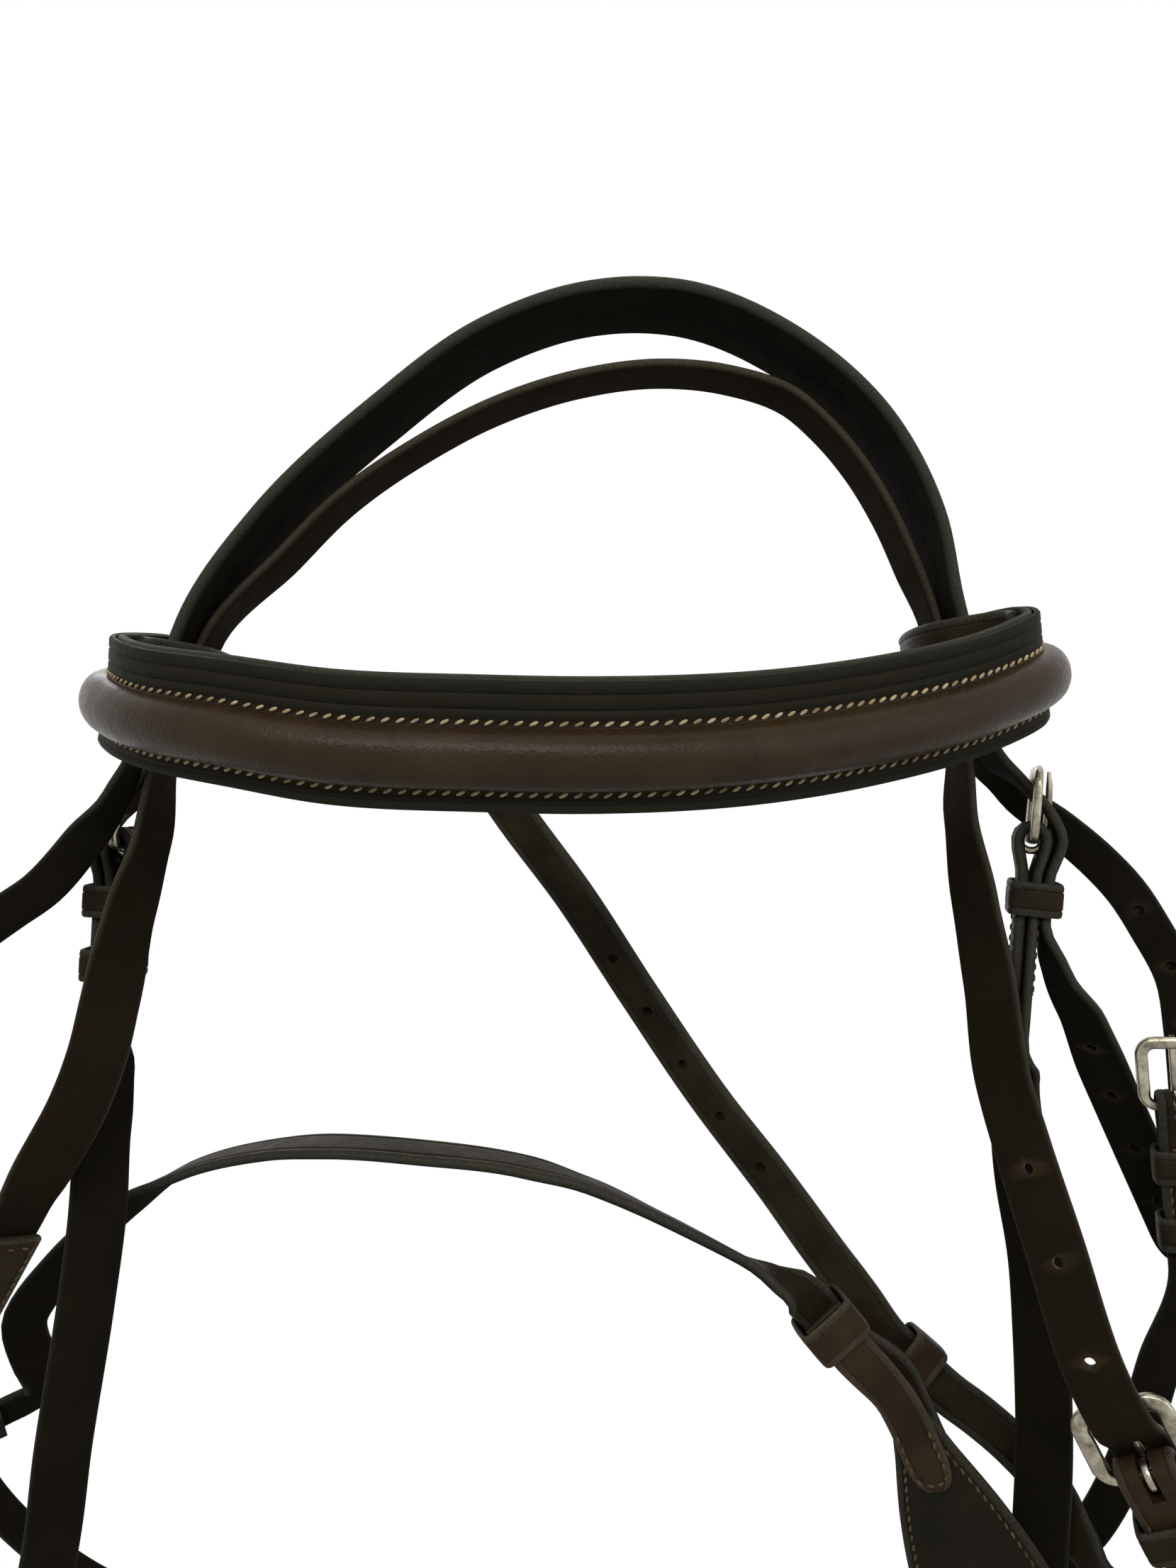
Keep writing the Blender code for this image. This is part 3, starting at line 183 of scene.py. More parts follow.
def hermite(points, index, t):
    """A point on the smooth curve through the points, t of the way from one to the next."""
    here, there = points[index], points[index + 1]
    span = (there - here).length

    def slope(i):
        if i == 0:
            return (points[1] - points[0]).normalized()
        if i == len(points) - 1:
            return (points[-1] - points[-2]).normalized()
        before = points[i] - points[i - 1]
        after = points[i + 1] - points[i]
        return (before / before.length * after.length
                + after / after.length * before.length) / (before.length + after.length)

    square, cube = t * t, t * t * t
    return (here * (2 * cube - 3 * square + 1) + slope(index) * span * (cube - 2 * square + t)
            + there * (3 * square - 2 * cube) + slope(index + 1) * span * (cube - square))


class Route:
    """A smooth route through stations, read back by the length run along it."""

    def __init__(self, stations, step=None):
        step = step or SAMPLE_STEP
        points = [station[0] for station in stations]
        self.points, lean = [points[0]], [stations[0][1]]
        self.marks = [0]
        for index in range(len(points) - 1):
            span = (points[index + 1] - points[index]).length
            pieces = max(1, math.ceil(span / step))
            for piece in range(1, pieces + 1):
                t = piece / pieces
                self.points.append(hermite(points, index, t))
                blend = t * t * (3 - 2 * t)
                lean.append(stations[index][1].lerp(stations[index + 1][1], blend))
            self.marks.append(len(self.points) - 1)
        self.runs = [0.0]
        for before, after in zip(self.points, self.points[1:]):
            self.runs.append(self.runs[-1] + (after - before).length)
        self.length = self.runs[-1]
        self.across = []
        for index, side in enumerate(lean):
            along = self.heading(index)
            self.across.append((side - along * side.dot(along)).normalized())

    def run_near(self, point):
        """How far along the route its nearest sampled point lies."""
        index = min(range(len(self.points)), key=lambda i: (self.points[i] - point).length)
        return self.runs[index]

    def heading(self, index):
        before = self.points[max(0, index - 1)]
        after = self.points[min(len(self.points) - 1, index + 1)]
        return (after - before).normalized()

    def run_of(self, station):
        """How far along the route a station lies; negative stations count from the end."""
        return self.runs[self.marks[station]]

    def place(self, run):
        """The place at a run: up looks along the route, out is the side the strap's face shows."""
        index = max(i for i, value in enumerate(self.runs) if value <= run or i == 0)
        index = min(index, len(self.runs) - 2)
        share = (run - self.runs[index]) / (self.runs[index + 1] - self.runs[index])
        point = self.points[index].lerp(self.points[index + 1], share)
        side = self.across[index].lerp(self.across[index + 1], share)
        up = (self.points[index + 1] - self.points[index]).normalized()
        return Place(point, up, side.cross(up))

    def smooth_place(self, run):
        """The place at a run, with its heading turned smoothly from sample to sample."""
        index = max(i for i, value in enumerate(self.runs) if value <= run or i == 0)
        index = min(index, len(self.runs) - 2)
        share = (run - self.runs[index]) / (self.runs[index + 1] - self.runs[index])
        point = self.points[index].lerp(self.points[index + 1], share)
        side = self.across[index].lerp(self.across[index + 1], share)
        up = self.heading(index).lerp(self.heading(index + 1), share)
        return Place(point, up, side.cross(up))


def tip_scale(distance):
    """The share of its width that a rounded strap tip keeps at a distance from its end."""
    if distance >= TIP_LENGTH:
        return 1
    reach = 1 - distance / TIP_LENGTH
    return TIP_LAST_SHARE + (1 - TIP_LAST_SHARE) * math.sqrt(1 - reach ** 2.8)


def neck_scale(distance):
    """The share of its width that a strap keeps where it is drawn in to turn round a ring."""
    reach = min(1, max(0, (distance - NECK_REACH) / NECK_RAMP))
    return NECK_SHARE + (1 - NECK_SHARE) * reach * reach * (3 - 2 * reach)


def settle(start, end, steps=4):
    """Points between two levels that leave the first and reach the second without a kink."""
    rows = []
    for step in range(1, steps):
        share = step / steps
        ease = (1 - math.cos(math.pi * share)) / 2
        rows.append((start[0] + (end[0] - start[0]) * share, start[1] + (end[1] - start[1]) * ease))
    return rows


def fold_stations(place, radius, leather, close, length, run_on=True):
    """A strap's turn round a bar at the place's origin and back along itself.

    The strap comes up on the outer side, closes on its own returned end below the bar, and
    lies with the gap between the two layers on the bar's middle plane. With run_on it stays
    beside the returned end until past that end.
    """
    near = (leather + GAP) / 2
    flat = -close * FLAT_SHARE
    outer = [(flat, near), (-close, near)]
    outer += settle((-close, near), (0, radius))
    arc = []
    for step in range(FOLD_ARC_STEPS + 1):
        angle = math.pi * step / FOLD_ARC_STEPS
        arc.append((radius * math.sin(angle), radius * math.cos(angle)))
    inner = [(up, -out) for up, out in reversed(outer)] + [(-length, -near)]
    if run_on:
        outer = [(-length - 3 * leather, near), (-length - leather, near)] + outer
    return [(place.at(0, up, out), place.across.copy()) for up, out in outer + arc + inner]


def turned(stations):
    return list(reversed(stations))


def fold_radius(leather):
    """The middle radius of a strap's turn round a buckle's hinge bar."""
    return BUCKLE_WIRE / 2 + RUNNING_GAP + leather / 2


def billet_stations(place, leather, own, straight):
    """A strap end done up in a buckle: under the top bar, over the turned strap, and down."""
    over = fold_radius(leather) + leather / 2 + PASS_GAP + own / 2
    under = BUCKLE_WIRE / 2 + PASS_GAP + own / 2
    lean = math.asin((over + under) / BUCKLE_LENGTH)
    lying = leather + GAP / 2 + GAP + own / 2
    rows = [(BUCKLE_LENGTH - under * math.sin(lean), -under * math.cos(lean)),
            (over * math.sin(lean), over * math.cos(lean)),
            (0, over)]
    rows += settle((0, over), (-FOLD_CLOSE, lying))
    rows += [(-FOLD_CLOSE, lying), (-FOLD_CLOSE * FLAT_SHARE, lying), (-straight, lying)]
    if straight > 2 * FOLD_CLOSE:
        rows.insert(-1, (-straight + leather, lying))
    return [(place.at(0, up, out), place.across.copy()) for up, out in rows]


def ring_fold_radius(leather, width):
    """A strap's turn round a ring clears the ring's curve across the strap's width."""
    half = width * NECK_SHARE / 2
    sagitta = RING_RADIUS - math.sqrt(RING_RADIUS ** 2 - half ** 2)
    return RING_WIRE / 2 + sagitta + GAP + leather / 2


def ring_spot(place, degrees, swing=0):
    """The place on a ring's rim where a strap turns round it.

    The strap sits at an angle from the ring's up, and swings about the rim towards its out.
    """
    angle, lean = math.radians(degrees), math.radians(swing)
    away = place.up * math.cos(angle) + place.across * math.sin(angle)
    leaving = away * math.cos(lean) + place.out * math.sin(lean)
    out = place.out * math.cos(lean) - away * math.sin(lean)
    return Place(place.origin + away * RING_RADIUS, -leaving, out)


def ring_fold(at_ring, leather, width, length, face):
    """A strap's turn round a ring, from its returned end, with its width's middle facing face."""
    radius = ring_fold_radius(leather, width)
    stations = turned(fold_stations(at_ring, radius, leather, FOLD_CLOSE, length))
    return facing(stations, face), at_ring.at(0, radius, 0)


def facing(stations, face):
    """The same stations with each direction across turned to the side that face points to."""
    face = Vector(face)
    return [(point, side if side.dot(face) > 0 else -side) for point, side in stations]


# Places that carry the straps
LOOP_LEFT = Place(spot(-1.315, 0, -1.105), (0.37, 0, 0.93), (-0.93, 0, 0.37))
LOOP_RIGHT = Place(spot(0.97, 0, -1.055), (-0.24, 0, 0.97), (0.97, 0, 0.24))
OFF_RING = Place(spot(-2.20, 0.03, -3.43), (0.51, -0.22, 0.83), (-0.556, 0.613, 0.504))
NEAR_RING = Place(spot(1.59, -0.39, -3.64), (-0.45, 0.05, 0.89), (0.35, 0.92, 0.13))
NEAR_CHEEK = Place(spot(1.162, -0.07, -1.537), (0.08, 0, 0.997), (0.955, -0.29, -0.08))
OFF_CHEEK = Place(spot(-1.50, 0.10, -1.56), (0.05, 0, 1), (-1, 0, 0.05))
THROAT = Place(spot(1.57, -0.10, -2.295), (-0.08, 0, 0.997), (0.30, 0.95, 0.02))
CHIN = Place(spot(0.97, 0.19, -4.22), (0, 0.10, -0.995), (-0.20, -0.97, -0.10))
JAW = Place(spot(1.20, 0.75, -4.40), (0.75, -0.45, 0.42), (0.50, 0.80, -0.30))
PAD = Place(spot(0.958, -0.028, -3.523), (-0.40, 0, 0.92), (-0.35, -0.92, -0.15))

HEADSTALL_BUCKLE = Place(NEAR_RING.at(0, RING_RADIUS + 2 * SHORT_FOLD, 0), NEAR_RING.up,
                         NEAR_RING.out)


# What the routes don't need but the dressed leather does
# Rows whose holes have closed up again on the flesh side, so that they read dark
SHUT_HOLES = ("near_throat_holes", "near_billet_holes", "nose_strap_holes")
TIP_ROWS = 9
TIP_LAST_SHARE = 0.30
EDGE_ROWS = ((3.4, 0, 0), (2.75, 0.03, 0.3), (2.35, 0.34, 0),
             (1.95, 0.05, 0.55), (1.10, 0.08, 0.65))
END_DRAW = 0.12
METAL_SQUARENESS = 3.6

# A buckle casting's half width and half height in mm, at its top bar and at its hinge bar
CASTING_HALF = 2.30
LIGHT_CASTING_HALF = 1.70
HINGE_BAR_HALF = 1.35
CASTING_RISE = 1.20
HINGE_BAR_RISE = 1.30
CENTRED_HALF = 1.85
MM = 0.001


def look():
    return bpy.context.scene.bridle_look


def srgb(text):
    """A hex colour as the linear values that a shader takes."""
    values = [int(text[i:i + 2], 16) / 255 for i in (1, 3, 5)]
    return [((c + 0.055) / 1.055) ** 2.4 if c > 0.04045 else c / 12.92 for c in values] + [1.0]


def select_only(*things):
    """Leave only these objects selected, the first of them active."""
    if bpy.context.object and bpy.context.object.mode != "OBJECT":
        bpy.ops.object.mode_set(mode="OBJECT")
    bpy.ops.object.select_all(action="DESELECT")
    for thing in things:
        thing.select_set(True)
    bpy.context.view_layer.objects.active = things[0]


def finish_mesh(thing, angle=38, fill=True):
    """Merge the seam, close the ends, turn the faces outwards and shade the round parts smooth."""
    select_only(thing)
    bpy.ops.object.mode_set(mode="EDIT")
    bpy.ops.mesh.select_all(action="SELECT")
    bpy.ops.mesh.remove_doubles(threshold=0.000002)
    if fill:
        bpy.ops.mesh.fill_holes(sides=0)
    bpy.ops.mesh.select_all(action="SELECT")
    bpy.ops.mesh.normals_make_consistent(inside=False)
    bpy.ops.object.mode_set(mode="OBJECT")
    bpy.ops.object.shade_smooth_by_angle(angle=math.radians(angle))
    return thing


def skin(name, rows, closed=False, angle=38):
    """A body from a grid primitive: each row is (run, [(point, across, edge, flesh), ...])."""
    bpy.ops.object.select_all(action="DESELECT")
    if closed:
        rows = rows + [(rows[-1][0] + (rows[-1][0] - rows[-2][0]), rows[0][1])]
    columns = len(rows[0][1])
    bpy.ops.mesh.primitive_grid_add(x_subdivisions=columns, y_subdivisions=len(rows) - 1, size=1,
                                    calc_uvs=True)
    thing = bpy.context.object
    thing.name = thing.data.name = name
    mesh = thing.data
    width = columns + 1
    if len(mesh.vertices) != width * len(rows):
        raise RuntimeError(f"{name}: the grid has {len(mesh.vertices)} corners")
    places, edge, flesh, chart = [], [], [], []
    for run, ring in rows:
        around = 0.0
        before = ring[0][0]
        for point, _across, rim, inside in ring + [ring[0]]:
            around += (point - before).length
            before = point
            places += point[:]
            edge.append(rim)
            flesh.append(inside)
            chart.append((run * 10, around * 10))
    mesh.vertices.foreach_set("co", places)
    thing.matrix_world = Matrix()
    for label, values in (("edge", edge), ("flesh", flesh)):
        mesh.attributes.new(label, "FLOAT", "POINT").data.foreach_set("value", values)
    layer = mesh.uv_layers.active.data
    for loop in mesh.loops:
        layer[loop.index].uv = chart[loop.vertex_index]
    mesh.update()
    return finish_mesh(thing, angle, fill=not closed)


def strap_section(half, leather, grain):
    """Points round a strap's section: creased grain side, rounded edges and plain flesh side."""
    middle = leather / 2
    ease = min(1.0, half / (5.2 * MM))
    side = [(0, middle, 0, 0)]
    for inset, dip, rim in EDGE_ROWS:
        side.append((half - inset * MM * ease, middle - dip * MM * ease, rim, 0))
    side += [(half - 0.42 * MM * ease, middle - leather * 0.14, 0.8, 0),
             (half - 0.10 * MM * ease, middle - leather * 0.30, 1, 0),
             (half, 0, 1, 0.3),
             (half - 0.10 * MM * ease, -middle + leather * 0.28, 1, 0.6),
             (half - 0.45 * MM * ease, -middle + leather * 0.10, 0.8, 0.9),
             (half - 1.20 * MM * ease, -middle, 0.2, 1),
             (0, -middle, 0, 1)]
    mirrored = [(-a, o, e, f) for a, o, e, f in reversed(side[1:-1])]
    return [(a, o * grain, e, f) for a, o, e, f in side + mirrored]


def grain_side(route):
    """Which side of the route's out faces away from the horse's head: 1 or -1."""
    middle = Vector((-0.01, 0.05, -0.27))
    total = 0
    for index, point in enumerate(route.points):
        here = route.smooth_place(route.runs[index])
        total += here.out.dot(point - middle)
    return 1 if total > 0 else -1


def ribbon(name, route, width, leather, point_start=False, point_end=False, necks=()):
    """A leather strap along the route, with creased faces, rounded edges and shaped ends."""
    runs = set(route.runs)
    reach = [TIP_LENGTH * (step / TIP_ROWS) ** 1.8 for step in range(TIP_ROWS)]
    if point_start:
        runs |= set(reach)
    if point_end:
        runs |= {route.length - value for value in reach}
    kept = []
    for run in sorted(runs):
        if not kept or run - kept[-1] > 0.15 * MM:
            kept.append(run)
    kept[-1] = route.length
    grain = grain_side(route)
    rows = []
    for run in kept:
        here = route.smooth_place(run)
        half = width / 2
        for neck in necks:
            half *= neck_scale(abs(run - neck))
        if point_start:
            half *= tip_scale(run)
        if point_end:
            half *= tip_scale(route.length - run)
        ring = [(here.at(a, 0, o), a, e, f) for a, o, e, f in strap_section(half, leather, grain)]
        rows.append((run, ring))
    if not point_start:
        rows.insert(0, end_row(rows[0]))
    if not point_end:
        rows.append(end_row(rows[-1]))
    return skin(name + "_leather", rows)


def end_row(row):
    """The cut end of a strap: the same section drawn in a little, as a burnished edge is."""
    run, ring = row
    centre = sum((corner[0] for corner in ring), Vector()) / len(ring)
    return run, [(point.lerp(centre, END_DRAW), a, 1, f) for point, a, _edge, f in ring]


def join_to(target, extra):
    select_only(target, extra)
    bpy.ops.object.join()


def cut(target, cutter, how="DIFFERENCE"):
    """Take the cutter from the target, or join the two where they overlap."""
    if how == "UNION":
        join_to(target, cutter)
        return
    before = len(target.data.polygons)
    select_only(target)
    bpy.ops.object.modifier_add(type="BOOLEAN")
    boolean = target.modifiers[-1]
    boolean.operation = how
    boolean.solver = "EXACT"
    boolean.object = cutter
    bpy.ops.object.modifier_apply(modifier=boolean.name)
    if len(target.data.polygons) < before * 0.8:
        raise RuntimeError(f"{target.name}: the cut took too much")
    bpy.data.objects.remove(cutter, do_unlink=True)


def drill(name, target, places, depth, diameter=None):
    """Round holes punched through a strap."""
    punches = []
    for place in places:
        bpy.ops.object.select_all(action="DESELECT")
        bpy.ops.mesh.primitive_cylinder_add(vertices=20, radius=(diameter or HOLE) / 2,
                                            depth=depth + CUT_OVERRUN)
        punch = bpy.context.object
        facing = -1 if place.out.y > 0 else 1
        shift = (depth + CUT_OVERRUN) / 2 - depth * 0.2 if name in SHUT_HOLES else 0
        punch.matrix_world = Matrix.Translation(place.out * facing * shift) @ place.matrix()
        punches.append(punch)
    select_only(*punches)
    if len(punches) > 1:
        bpy.ops.object.join()
    bpy.ops.object.transform_apply(location=True, rotation=True, scale=True)
    if name != "nose_strap_holes":
        # These straps show their flesh side, so the cut edge is flesh coloured too
        flesh = punches[0].data.attributes.new("flesh", "FLOAT", "POINT")
        flesh.data.foreach_set("value", [1.0] * len(punches[0].data.vertices))
    cut(target, punches[0])


def box_cutter(place, size):
    """A block at the place, used to cut a slot."""
    bpy.ops.object.select_all(action="DESELECT")
    bpy.ops.mesh.primitive_cube_add(size=1)
    block = bpy.context.object
    block.matrix_world = place.matrix() @ Matrix.Diagonal((*size, 1))
    select_only(block)
    bpy.ops.object.transform_apply(location=True, rotation=True, scale=True)
    return block


PUNCHED = ("headpiece", "noseband_headstall", "near_nose_strap")


def finish_with(piece, node, slot):
    """Give a piece its material and the body it moves with, and hide the solid that it stands for."""
    for body, nodes in frame["record"]["behaviour"]["bodies"].items():
        if node in nodes:
            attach(piece, body)
    if node in PUNCHED:
        select_only(piece)
        bpy.ops.object.modifier_add(type="WEIGHTED_NORMAL")
        piece.modifiers[-1].keep_sharp = True
        bpy.ops.object.modifier_apply(modifier=piece.modifiers[-1].name)
    piece.data.materials.clear()
    piece.data.materials.append(bpy.data.materials[MATERIAL_OF[slot]])
    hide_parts(node)


def keeper(name, place, width, low, high, length=None, colour="dark_leather"):
    """A sewn leather loop round a stack of straps, creased along both edges."""
    length = length or KEEPER_LENGTH
    half = width / 2 + RUNNING_GAP + KEEPER_LEATHER / 2
    low, high = low - RUNNING_GAP - KEEPER_LEATHER / 2, high + RUNNING_GAP + KEEPER_LEATHER / 2
    corner = min(KEEPER_CORNER + KEEPER_LEATHER / 2, (high - low) / 3)
    outline = []
    for x, y, start in ((half, high, 0), (-half, high, 90), (-half, low, 180), (half, low, 270)):
        centre = (x - math.copysign(corner, x), y - corner if y == high else y + corner)
        for step in range(7):
            angle = math.radians(start + 15 * step)
            outline.append((centre[0] + corner * math.cos(angle),
                            centre[1] + corner * math.sin(angle), angle))
    filled = []
    for (xa, ya, ta), (xb, yb, _tb) in zip(outline, outline[1:] + outline[:1]):
        filled.append((xa, ya, ta))
        if math.hypot(xb - xa, yb - ya) > 2.4 * MM:
            count = int(math.hypot(xb - xa, yb - ya) / (1.6 * MM))
            for n in range(1, count):
                share = n / count
                bulge = 0.22 * MM * math.sin(math.pi * share)
                filled.append((xa + (xb - xa) * share + bulge * math.cos(ta),
                               ya + (yb - ya) * share + bulge * math.sin(ta), ta))
    rows, run = [], 0.0
    for across, out, angle in filled:
        normal = place.across * math.cos(angle) + place.out * math.sin(angle)
        along = place.up.cross(normal)
        here = Place(place.at(across, 0, out), along, normal)
        ring = [(here.at(a, 0, o), a, e, f)
                for a, o, e, f in strap_section(length / 2, KEEPER_LEATHER, 1)]
        rows.append((run, ring))
        run += 1.2 * MM
    loop = skin(name + "_loop", rows, closed=True)
    finish_with(loop, name, colour)
    return loop


def bar(name, rows, closed, sides=14):
    """Metal swept along places: each row is (place, half width across, half height out, push)."""
    grid = []
    for number, (place, wide, high, push) in enumerate(rows):
        ring = []
        for side in range(sides):
            angle = 2 * math.pi * side / sides
            x, y = math.cos(angle), math.sin(angle)
            round_sum = abs(x) ** METAL_SQUARENESS + abs(y) ** METAL_SQUARENESS
            square = 1 / round_sum ** (1 / METAL_SQUARENESS)
            ring.append((place.at(push + wide * x * square, 0, high * y * square), x, 0, 0))
        grid.append((number * MM, ring))
    return skin(name, grid, closed=closed, angle=50)


def buckle(label, place, strap_width):
    """A cast buckle frame with a flat-faced top bar and a round hinge bar, and its tongue."""
    half = strap_width / 2 + BUCKLE_SIDE_GAP + BUCKLE_WIRE / 2
    # The narrow throat buckle is a lighter casting and clears the billet's tail when it swings.
    broad = LIGHT_CASTING_HALF if strap_width < NOSE_WIDTH else CASTING_HALF
    top, corner = BUCKLE_LENGTH, BUCKLE_CORNER
    rows = []
    for x, y, start in ((half, top, 0), (-half, top, 90), (-half, 0, 180), (half, 0, 270)):
        centre = (x - math.copysign(corner, x), y - corner if y else y + corner)
        low = y == 0
        for step in range(9):
            angle = math.radians(start + 90 * step / 8)
            normal = place.across * math.cos(angle) + place.up * math.sin(angle)
            point = place.at(centre[0] + corner * math.cos(angle),
                             centre[1] + corner * math.sin(angle), 0)
            here = Place(point, place.out.cross(normal), place.out)
            depth = max(0.0, -math.sin(angle))
            wide = (broad - (broad - HINGE_BAR_HALF) * depth) * MM
            high = (CASTING_RISE + (HINGE_BAR_RISE - CASTING_RISE) * depth) * MM
            sign = 1 if here.across.dot(normal) > 0 else -1
            push = sign * max(0.0, broad - CENTRED_HALF) * (1 - depth)
            rows.append((here, wide, high, push * MM))
        if low and start == 180:
            for share in (0.25, 0.5, 0.75):
                point = place.at((half - corner) * (2 * share - 1), 0, 0)
                rows.append((Place(point, rows[-1][0].up, place.out), 1.45 * MM, 1.45 * MM, 0))
    frame_piece = bar(f"{label}_frame_casting", rows, True)
    finish_with(frame_piece, f"{label}_buckle_frame", "steel")

    eye = BUCKLE_WIRE / 2 + RUNNING_GAP + TONGUE_WIRE / 2
    path = []
    for step in range(15):
        angle = -1.5 * math.pi * step / 14
        path.append((eye * math.cos(angle), eye * math.sin(angle), 1.15))
    for share in (0.2, 0.4, 0.6, 0.8, 1.0):
        lift = 0.45 * MM * math.sin(math.pi * share)
        path.append(((top + TONGUE_OVERRUN) * share, eye + lift, 1.15 - 0.25 * share))
    path[-1] = (top + TONGUE_OVERRUN - 0.1 * MM, eye - 0.1 * MM, 0.55)
    rows = []
    for index, (up, out, size) in enumerate(path):
        ahead = path[min(index + 1, len(path) - 1)]
        behind = path[max(index - 1, 0)]
        along = place.up * (ahead[0] - behind[0]) + place.out * (ahead[1] - behind[1])
        here = Place(place.at(0, up, out), along, along.cross(place.across))
        rows.append((here, size * 1.05 * MM, size * 0.92 * MM, 0))
    tongue = bar(f"{label}_tongue_pin", rows, False)
    finish_with(tongue, f"{label}_buckle_tongue", "steel")


def ring(name, place):
    """A welded steel ring with a faint bulge at its weld."""
    bpy.ops.object.select_all(action="DESELECT")
    bpy.ops.mesh.primitive_torus_add(major_segments=72, minor_segments=20,
                                     major_radius=RING_RADIUS, minor_radius=RING_WIRE / 2)
    hoop = bpy.context.object
    for corner in hoop.data.vertices:
        angle = math.atan2(corner.co.y, corner.co.x)
        swell = 1 + 0.06 * math.exp(-(angle / 0.09) ** 2)
        middle = Vector((math.cos(angle), math.sin(angle), 0)) * RING_RADIUS
        corner.co = place.matrix() @ (middle + (corner.co - middle) * swell)
    hoop.name = name + "_hoop"
    hoop.matrix_world = Matrix()
    finish_mesh(hoop, 60, fill=False)
    finish_with(hoop, name, "steel")


def bit_stud(name, place):
    """A hook stud: foot, shank and domed head, turned on the lathe."""
    stack = CHEEK_LEATHER * 2 + GAP
    low = stack / 2 + GAP
    foot, head = STUD_HEAD_HEIGHT * 0.4, STUD_HEAD_HEIGHT
    profile = [(0, -low - head), (STUD_HEAD * 0.20, -low - head * 0.97),
               (STUD_HEAD * 0.36, -low - head * 0.82), (STUD_HEAD * 0.46, -low - head * 0.55),
               (STUD_HEAD * 0.50, -low - head * 0.22), (STUD_HEAD * 0.47, -low),
               (STUD_SHANK / 2, -low), (STUD_SHANK / 2, low), (STUD_HEAD * 0.48, low),
               (STUD_HEAD * 0.50, low + foot * 0.5), (STUD_HEAD * 0.44, low + foot),
               (0, low + foot)]
    bpy.ops.object.select_all(action="DESELECT")
    bpy.ops.mesh.primitive_grid_add(x_subdivisions=32, y_subdivisions=len(profile) - 1, size=1)
    stud = bpy.context.object
    for number, corner in enumerate(stud.data.vertices):
        radius, out = profile[number // 33]
        angle = 2 * math.pi * (number % 33) / 32
        corner.co = place.at(radius * math.cos(angle), radius * math.sin(angle), out)
    stud.name = name + "_turned"
    stud.matrix_world = Matrix()
    finish_mesh(stud, 35, fill=False)
    finish_with(stud, name, "steel")


STITCHES = {}


def thread_stitch(point, along, out, slant=0.0):
    """Note one stitch: its middle, the way it runs and the way the leather faces."""
    side = along.cross(out).normalized()
    along = (along.normalized() + side * slant).normalized()
    return point.copy(), along, out.normalized()


def sew(node, stitches):
    STITCHES.setdefault(node, []).extend(stitches)


def row_of_stitches(start, end, out, slant=0.22):
    """Stitches at the set pitch from one point to another on a flat leather face."""
    pitch = look().stitch_pitch
    count = max(1, int((end - start).length / pitch))
    along = end - start
    return [thread_stitch(start + along * ((n + 0.5) / count), along, out, slant)
            for n in range(count)]


def fold_stitches(node, place, leather, width, length, close=None, faces=(1, -1), ends=True):
    """The rows down both edges of a turned-back end, and the cross rows that close it."""
    close = close or FOLD_CLOSE
    rise = (leather + GAP) / 2 + leather / 2 - 0.05 * MM
    edge = width / 2 - 1.9 * MM
    for face in faces:
        out = place.out * face
        for side in (-edge, edge):
            sew(node, row_of_stitches(place.at(side, -close, rise * face),
                                      place.at(side, -length + 2.4 * MM, rise * face), out))
        if ends:
            for up in (-close, -length + 2.2 * MM):
                sew(node, row_of_stitches(place.at(-edge, up, rise * face),
                                          place.at(edge, up, rise * face), out))


def stitch_mesh(node, stitches):
    """One sewn thread piece per node: a single stitch is modelled, then copied to each place."""
    bpy.ops.object.select_all(action="DESELECT")
    bpy.ops.mesh.primitive_uv_sphere_add(segments=6, ring_count=5, radius=1)
    model = bpy.context.object
    corners = [v.co.copy() for v in model.data.vertices]
    faces = [tuple(p.vertices) for p in model.data.polygons]
    bpy.data.objects.remove(model, do_unlink=True)
    length, thick = look().stitch_pitch * 0.36, look().stitch_thread / 2
    verts, polys = [], []
    for point, along, out in stitches:
        side = along.cross(out)
        base = len(verts)
        verts += [point + along * (c.z * length) + side * (c.x * thick) + out * (c.y * thick)
                  for c in corners]
        polys += [[base + i for i in face] for face in faces]
    mesh = bpy.data.meshes.new(node + "_stitches")
    mesh.from_pydata(verts, [], polys)
    piece = bpy.data.objects.new(node + "_stitches", mesh)
    bpy.context.scene.collection.objects.link(piece)
    select_only(piece)
    bpy.ops.object.shade_smooth()
    for body, nodes in frame["record"]["behaviour"]["bodies"].items():
        if node in nodes:
            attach(piece, body)
    thread = "waxed_linen_thread" if node == "browband_padded_cover" else MATERIAL_OF["thread"]
    piece.data.materials.append(bpy.data.materials[thread])


def tongue_slot(strap, place, leather):
    """The slot in a turned strap that the tongue's eye stands in."""
    eye = BUCKLE_WIRE / 2 + RUNNING_GAP + TONGUE_WIRE
    top = fold_radius(leather) + leather / 2 + CUT_OVERRUN
    foot = eye + GAP
    opened = Place(place.at(0, (top - foot) / 2, 0), place.up, place.out)
    size = (TONGUE_WIRE + 2 * RUNNING_GAP, top + foot, 2 * top)
    cut(strap, box_cutter(opened, size))


def billet_slot(strap, place):
    """The hole that the tongue passes, stretched to the tongue's slant."""
    rise = BUCKLE_WIRE / 2 + RUNNING_GAP + TONGUE_WIRE / 2
    wide = TONGUE_WIRE + 2 * RUNNING_GAP
    centre_share, length_share = TONGUE_HOLE_SHARES
    middle = Place(place.at(0, BUCKLE_LENGTH * centre_share, rise), place.up, place.out)
    cut(strap, box_cutter(middle, (wide, BUCKLE_LENGTH * length_share, wide)))


